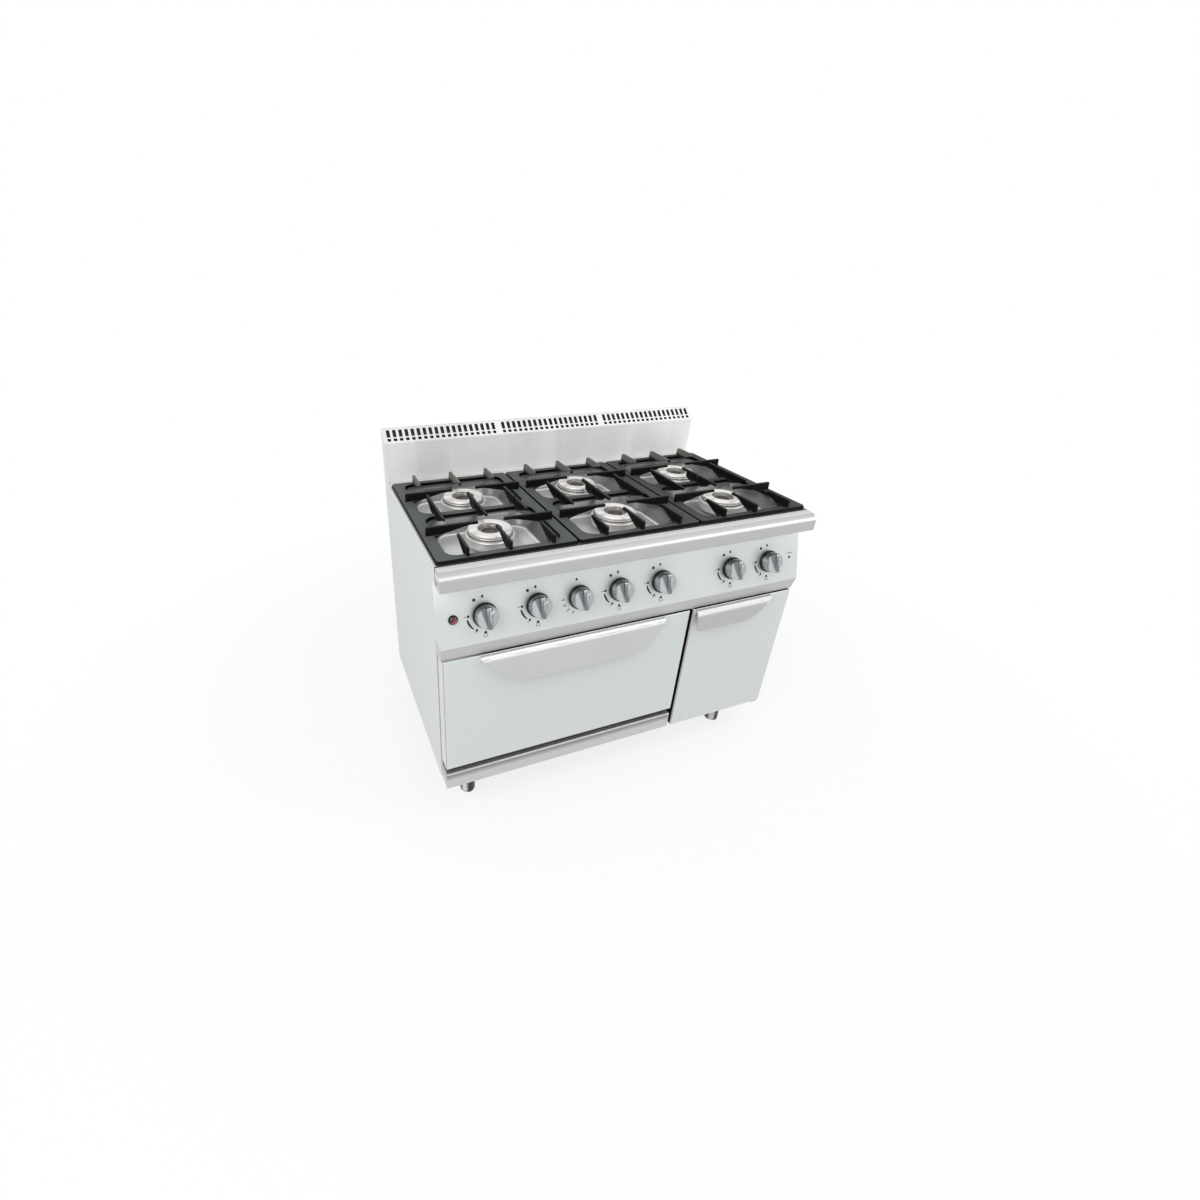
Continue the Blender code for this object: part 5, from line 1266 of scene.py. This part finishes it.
def gap_shade_finish(name, level, fade_x=(-2, -1)):
    """A dull, dark finish with a faint bloom, as painted shade in a gap, painted pale to the left of a span
    along x where that shade fades.
    """
    made, place = finish(name, {"Specular IOR Level": 0.2})
    bloom = place.noise(60, detail=3)
    tone = bloom.between(shade((level, level, level), 0.6), shade((level, level, level), 1.4))
    place.axis(0).step(*fade_x).between(PALE_GAP_END, tone).feed("Base Color")
    (0.75 + bloom * 0.2).feed("Roughness")
    return made


# Painted shade: dark strips in the gaps, the oven door's strips fading pale towards their left end.
EDGE_GAP_SHADE = gap_shade_finish("black_edge_rubber", 0.005, (ox[0] + 0.03, ox[0] + 0.15))
KICK_GAP_SHADE = gap_shade_finish("grey_kick_rubber", 0.13)
SEAM_GAP_SHADE = gap_shade_finish("black_seam_rubber", 0.005)
STRIP_THICK, STRIP_ROUND, END_GAP, FOOT_GAP = 0.0004, 0.00015, 0.004, 0.012
SIDE_DEPTH, TOP_DEPTH = (0.0045, 0.0485), (0.0022, 0.0485)
SEAM_X, SEAM_DEPTH = (0.0012, 0.006), (0.0512, 0.0545)
KICK_STRIP_THICK, KICK_GAP, KICK_DEPTH = 0.001, 0.002, (0.0035, 0.053)


def gap_shade_strips(name, body, strips, look=EDGE_GAP_SHADE):
    """Strips given as x, depth and height spans, with their long edges eased."""
    bm = bmesh.new()
    for spans in strips:
        add_box(bm, *spans)
    made = shape(name, bm, look)
    round_edges(made, STRIP_ROUND, 1)
    settle(made)
    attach(made, body)


def top_strip(x, z):
    return (x[0] + END_GAP, x[1] - END_GAP), TOP_DEPTH, (z[1], z[1] + STRIP_THICK)


side_strip = ((ox[1], ox[1] + STRIP_THICK), SIDE_DEPTH, (oz[0] + FOOT_GAP, oz[1] - END_GAP))
gap_shade_strips("oven_door_seals", "oven_door", (top_strip(ox, oz), side_strip))
side_strip = ((cx[0] - STRIP_THICK, cx[0]), SIDE_DEPTH, (cz[0] + END_GAP, cz[1] - END_GAP))
gap_shade_strips("cupboard_door_seals", "cupboard_door", (top_strip(cx, cz), side_strip))
seam = ((ox[0] + SEAM_X[0], ox[0] + SEAM_X[1]), SEAM_DEPTH, oz)
gap_shade_strips("side_seam_seal", "casing", (seam,), SEAM_GAP_SHADE)
strip = ((ox[0] + KICK_GAP, ox[1] - KICK_GAP), KICK_DEPTH, (kick_top, kick_top + KICK_STRIP_THICK))
gap_shade_strips("kick_strip_seal", "casing", (strip,), KICK_GAP_SHADE)


# Knobs: die-cast, satin plated, pushed on the tap spindles. A dark skirt carries a drum whose
# face is scooped out on both sides of a straight grip bar with a pointer line.
def plated(name, colour, roughness):
    made, place = finish(name, {"Metallic": 0.95})
    cloud = place.noise(120, detail=3)
    cloud.between(shade(colour, 0.9), shade(colour, 1.1)).feed("Base Color")
    (roughness + cloud * 0.1).feed("Roughness")
    cloud.bump(0.05, 0.0003)
    return made


SKIRT_METAL = plated("dark_knob_skirt", (0.025, 0.026, 0.028), 0.28)
LIGHT_PLATE, MID_PLATE = (0.53, 0.55, 0.56), (0.44, 0.45, 0.46)
DARK_PLATE, BLACK_PLATE = (0.20, 0.21, 0.22), (0.09, 0.095, 0.095)
KNOB_METAL, place = finish("satin_plated_knob", {"Metallic": 0.9})
local = place.node("ShaderNodeAttribute", {"attribute_name": "local"}, {}, 1)
cloud = place.noise(120, detail=3)
u, v, out = [local.axis(k) for k in range(3)]
# Painted light and shade in the knob's own coordinates: the face lighter to the left, a dark band beside the
# grip bar, a painted highlight at the upper right, and the top of the drum's wall near black.
lean = u + v * 0.25
band = lean.band((-0.015, -0.010), (-0.003, 0.004))
face = lean.step(-0.006, 0.004).between(shade(LIGHT_PLATE, 1), shade(MID_PLATE, 1))
face = band.between(face, shade(DARK_PLATE, 1))
across, climb = u - 0.011, (v - 0.013) * 1.8
painted_gleam = 1 - (across * across + climb * climb).step(0.0045**2, 0.0085**2)
face = painted_gleam.between(face, shade(LIGHT_PLATE, 1.75))
wall = (u * u + v * v).step(0.0285**2, 0.0297**2) * (1 - out.step(0.0445, 0.0468))
crown = (v * 0.9 - u * 0.3).step(0.012, 0.032)
side = crown.between(shade(MID_PLATE, 1), shade(BLACK_PLATE, 1))
wall.between(face, side).feed("Base Color")
(0.22 + cloud * 0.1).feed("Roughness")
cloud.bump(0.03, 0.0002)

KNOB_FRONT, KNOB_STEPS, KNOB_ROUND, SCOOP_STEPS = 0.047, 56, 0.0009, 40
SKIRT = [(0, 0.005), (0.0333, 0.005), (0.0345, 0.0062), (0.0345, 0.0115), (0.0335, 0.0128)]
SKIRT += [(0.0318, 0.0132), (0, 0.0132)]
DRUM = [(0, 0.0125), (0.0314, 0.0125), (0.0314, 0.017), (0.0306, 0.0415), (0.0298, 0.0443)]
DRUM += [(0.0282, 0.0462), (0.0258, KNOB_FRONT), (0, KNOB_FRONT)]
SCOOP_RADIUS, SCOOP_HALF, SCOOP_X, SCOOP_Z = 0.0165, 0.05, 0.0230, 0.0495
SCOOP = [(0, -SCOOP_HALF), (SCOOP_RADIUS, -SCOOP_HALF), (SCOOP_RADIUS, SCOOP_HALF), (0, SCOOP_HALF)]
POINTER = ((-0.0007, 0.0007), (0.004, 0.022), (KNOB_FRONT - 0.0002, KNOB_FRONT + 0.0002))
sideways = Matrix.Rotation(math.radians(90), 4, "X")
for name in KNOBS:
    place = panel_frame(middle(name).x)
    bm = bmesh.new()
    turned(bm, DRUM, KNOB_STEPS, place)
    drum = shape(name + "_drum", bm, KNOB_METAL)
    bm = bmesh.new()
    for side in (-1, 1):
        beside = Matrix.Translation((side * SCOOP_X, 0, SCOOP_Z)) @ sideways
        turned(bm, SCOOP, SCOOP_STEPS, place @ beside)
    scoops = shape(name + "_scoops", bm, KNOB_METAL)
    drum.modifiers.new("scoops", "BOOLEAN").object = scoops
    round_edges(drum, KNOB_ROUND, 3)
    settle(drum, 50)
    mark_local(drum, place)
    bpy.data.objects.remove(scoops)
    skirt = turned_piece(name + "_skirt", SKIRT_METAL, SKIRT, KNOB_STEPS, place, angle=30)
    bm = bmesh.new()
    add_box(bm, *POINTER)
    bmesh.ops.transform(bm, matrix=place, verts=bm.verts)
    line = shape(name + "_pointer", bm, BLACK_INK)
    for made in (drum, skirt, line):
        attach(made, name)
    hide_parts(name)

# Igniter button: a red plastic dome in a dark plated collar on the control face. It is pressed
# to spark, and slides on a narrower stem that goes in through the panel.
gloss = {"Coat Weight": 0.4, "Coat Roughness": 0.1, "Specular IOR Level": 0.6}
RED_PLASTIC, place = finish("red_button_plastic", gloss)
cloud = place.noise(300, detail=2)
home = middle("igniter_button")
# Painted shade: the dome is near black towards its upper left and red towards its lower right.
slant = (place.axis(0) - home.x) - (place.axis(2) - home.z)
red = cloud.between((0.36, 0.012, 0.045, 1), (0.46, 0.030, 0.075, 1))
slant.step(-0.010, 0.006).between((0.02, 0.004, 0.008, 1), red).feed("Base Color")
(0.18 + cloud * 0.14).feed("Roughness")
BUTTON_STEPS = 40
place = panel_frame(home.x)
dome = [(0, -0.016), (0.0062, -0.016), (0.0062, -0.0083), (0.0108, -0.0083), (0.0108, 0.0045)]
dome += [(0.0102, 0.0068), (0.0087, 0.0084), (0.006, 0.0095), (0.003, 0.0099), (0, 0.010)]
button = turned_piece("igniter_dome", RED_PLASTIC, dome, BUTTON_STEPS, place, angle=50)
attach(button, "igniter_button")
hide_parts("igniter_button")
ring = [(0.0112, -0.001), (0.0132, -0.001), (0.0132, 0.0018)]
ring += [(0.0126, 0.0028), (0.0117, 0.0028), (0.0112, 0.0022)]
made = turned_piece("igniter_collar", SKIRT_METAL, ring, BUTTON_STEPS, place, True, 30)
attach(made, "casing")

# Fixing screws: pan-head machine screws with a cross slot, driven into the nose ends, round
# the back sheet and along the upstand's back. One tree sets a head at every place.
kinds = {"Head": "Object", "Size": "Float", "Seed": "Int"}
screw_tree, given = node_tree("screw_heads", kinds)
points = given["Geometry"]
head = points.node("GeometryNodeObjectInfo", {}, {"Object": given["Head"]}, 4)
vectors = {"data_type": "FLOAT_VECTOR"}
facing = points.node("GeometryNodeInputNamedAttribute", vectors, {"Name": "facing"})
upward = points.node("FunctionNodeAlignRotationToVector", {"axis": "Z"}, {"Vector": facing})
whole_turn = {2: 0.0, 3: math.tau, "Seed": given["Seed"]}
angle = points.node("FunctionNodeRandomValue", {"data_type": "FLOAT"}, whole_turn, 1)
spin = points.node("FunctionNodeAxisAngleToRotation", {}, {"Axis": (0, 0, 1), "Angle": angle})
spun = {"Rotation": upward, "Rotate By": spin}
spun = points.node("FunctionNodeRotateRotation", {"rotation_space": "LOCAL"}, spun)
heads = {"Points": points, "Instance": head, "Rotation": spun, "Scale": given["Size"]}
end_tree(points.node("GeometryNodeInstanceOnPoints", {}, heads), given)
HEAD = [(0, 0), (0.004, 0), (0.0041, 0.0006), (0.0036, 0.0015), (0.0026, 0.0021)]
HEAD += [(0.0013, 0.0024), (0, 0.0025)]
SUNK, HEAD_STEPS = 0.0002, 24
CROSS = (about(0, 0.0022), about(0, 0.00045))
CROSS_Z = (0.0016, 0.0032)
origin = Matrix.Translation((0, -door_face, 0))
bm = bmesh.new()
turned(bm, HEAD, HEAD_STEPS, origin @ Matrix.Translation((0, 0, -SUNK)))
template = shape("screw_template", bm, BRIGHT_STEEL)
bm = bmesh.new()
for long, wide in (CROSS, CROSS[::-1]):
    add_box(bm, long, wide, CROSS_Z)
bmesh.ops.transform(bm, matrix=origin, verts=bm.verts)
cross = shape("screw_cross", bm, BRIGHT_STEEL)
cut = template.modifiers.new("cross", "BOOLEAN")
cut.object = cross
cut.use_self = True
settle(template, 35)
bpy.data.objects.remove(cross)
NOSE_SCREW = (0.012, 0.016)
BACK_COLUMNS, BACK_ROWS = 7, 5
SIDE_INSET, CORNER_INSET, EDGE_INSET, UPSTAND_INSET = 0.012, 0.020, 0.015, 0.012
places = []
for side, x in ((-1, wx0), (1, wx1)):
    places.append(((x, NOSE_SCREW[0], wz0 + NOSE_SCREW[1]), (side, 0, 0)))
bx, bd, bz = extents("back_panel")
first, last = bx[0] + CORNER_INSET, bx[1] - CORNER_INSET
for k in range(BACK_COLUMNS):
    x = first + (last - first) * k / (BACK_COLUMNS - 1)
    for z in (bz[0] + EDGE_INSET, bz[1] - EDGE_INSET):
        places.append(((x, bd[1], z), REARWARD))
    places.append(((x, ud1, uz0 + UPSTAND_INSET), REARWARD))
for k in range(1, BACK_ROWS):
    z = bz[0] + (bz[1] - bz[0]) * k / BACK_ROWS
    for x in (bx[0] + SIDE_INSET, bx[1] - SIDE_INSET):
        places.append(((x, bd[1], z), REARWARD))
bm = bmesh.new()
for spot, way in places:
    bm.verts.new(spot)
screws = shape("fixing_screws", bm, BRIGHT_STEEL, outward=False)
ways = screws.data.attributes.new("facing", "FLOAT_VECTOR", "POINT")
for item, (spot, way) in zip(ways.data, places):
    item.vector = way
grow(screws, screw_tree, {"Head": template, "Size": 1.0, "Seed": 7, "Finish": BRIGHT_STEEL}, 35)
bpy.data.objects.remove(template)
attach(screws, "casing")

# Studio: a plain white floor under an even white sky, a broad soft lamp from the front left, a
# weaker one from the right and a small one above the front. Camera, glossy and transmitted rays
# see a plain white sky, and a floor that is plain white farther off.
scene = bpy.context.scene
scene.view_settings.view_transform = "Standard"
FLOOR_SIZE, FLOOR_LIFT, FLOOR_FADE = 24, 0.80, (0.8, 2.2)
SKY_LIGHT = 0.62
WHITE = (1, 1, 1, 1)
bm = bmesh.new()
bmesh.ops.create_grid(bm, x_segments=1, y_segments=1, size=FLOOR_SIZE / 2)
floor_look = bpy.data.materials.new("white_studio_floor")
floor_look.use_nodes = True
tree = floor_look.node_tree
tree.nodes.remove(tree.nodes["Principled BSDF"])
rays = Signal(tree, tree.nodes.new("ShaderNodeLightPath").outputs["Is Camera Ray"])


def seen(rays):
    """1 for camera, glossy and transmitted rays."""
    outputs = rays.socket.node.outputs
    glossy = Signal(rays.tree, outputs["Is Glossy Ray"])
    through = Signal(rays.tree, outputs["Is Transmission Ray"])
    return rays.maths("MAXIMUM", rays, rays.maths("MAXIMUM", glossy, through))


place = Signal(tree, tree.nodes.new("ShaderNodeTexCoord").outputs["Object"])
far = place.node("ShaderNodeVectorMath", {"operation": "LENGTH"}, {0: place}, 1).step(*FLOOR_FADE)
lift = seen(rays) * (FLOOR_LIFT + far * (1 - FLOOR_LIFT))
matt = rays.node("ShaderNodeBsdfDiffuse", {}, {"Color": (0.92, 0.92, 0.92, 1)})
glow = rays.node("ShaderNodeEmission", {}, {"Color": WHITE, "Strength": 1.0})
mixed = rays.node("ShaderNodeMixShader", {}, {0: lift, 1: matt, 2: glow})
tree.links.new(mixed.socket, tree.nodes["Material Output"].inputs["Surface"])
floor = shape("studio_floor", bm, floor_look)
floor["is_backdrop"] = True
world = bpy.data.worlds.new("white_studio")
scene.world = world
world.use_nodes = True
tree = world.node_tree
rays = Signal(tree, tree.nodes.new("ShaderNodeLightPath").outputs["Is Camera Ray"])
lit = rays.node("ShaderNodeBackground", {}, {"Color": WHITE, "Strength": SKY_LIGHT})
plain = rays.node("ShaderNodeBackground", {}, {"Color": WHITE, "Strength": 1.0})
sky = rays.node("ShaderNodeMixShader", {}, {0: seen(rays), 1: lit, 2: plain})
tree.links.new(sky.socket, tree.nodes["World Output"].inputs["Surface"])


def lamp(name, spot, aim, size, power):
    data = bpy.data.lights.new(name, "AREA")
    data.shape = "DISK"
    data.size = size
    data.energy = power
    obj = bpy.data.objects.new(name, data)
    scene.collection.objects.link(obj)
    obj.location = spot
    obj.rotation_euler = (Vector(aim) - Vector(spot)).to_track_quat("-Z", "Y").to_euler()


lamp("key_lamp", (-2.7, -1.9, 2.9), aim=(0, 0, 0.5), size=2.2, power=58)
lamp("top_lamp", (0.7, -1.2, 2.8), aim=(0, -0.2, 0.7), size=0.8, power=9)
lamp("fill_lamp", (2.6, -1.8, 2.2), aim=(0, 0, 0.5), size=2.0, power=16)

# Camera: a wide lens at the front left, looking down on the burners from standing height.
# Its place, turn, lens and shift were fitted to corners and seams of the range.
eye = Vector((-0.8873, -1.5140, 1.5785))
right = Vector((0.93303, -0.35903, 0.02358))
up = Vector((0.15033, 0.44853, 0.88103))
toward = Vector((-0.3269, -0.81848, 0.47247))
lens = bpy.data.cameras.new("photo_camera")
lens.sensor_width = 36
lens.lens = 17.169
lens.shift_x, lens.shift_y = 0.0760, -0.0309
camera = bpy.data.objects.new("photo_camera", lens)
scene.collection.objects.link(camera)
axes = Matrix((right, up, toward)).transposed().to_4x4()
camera.matrix_world = Matrix.Translation(eye) @ axes
scene.camera = camera

sizes = {"cad": [list(corner) for corner in cad_box], "visual": [list(corner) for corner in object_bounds()]}
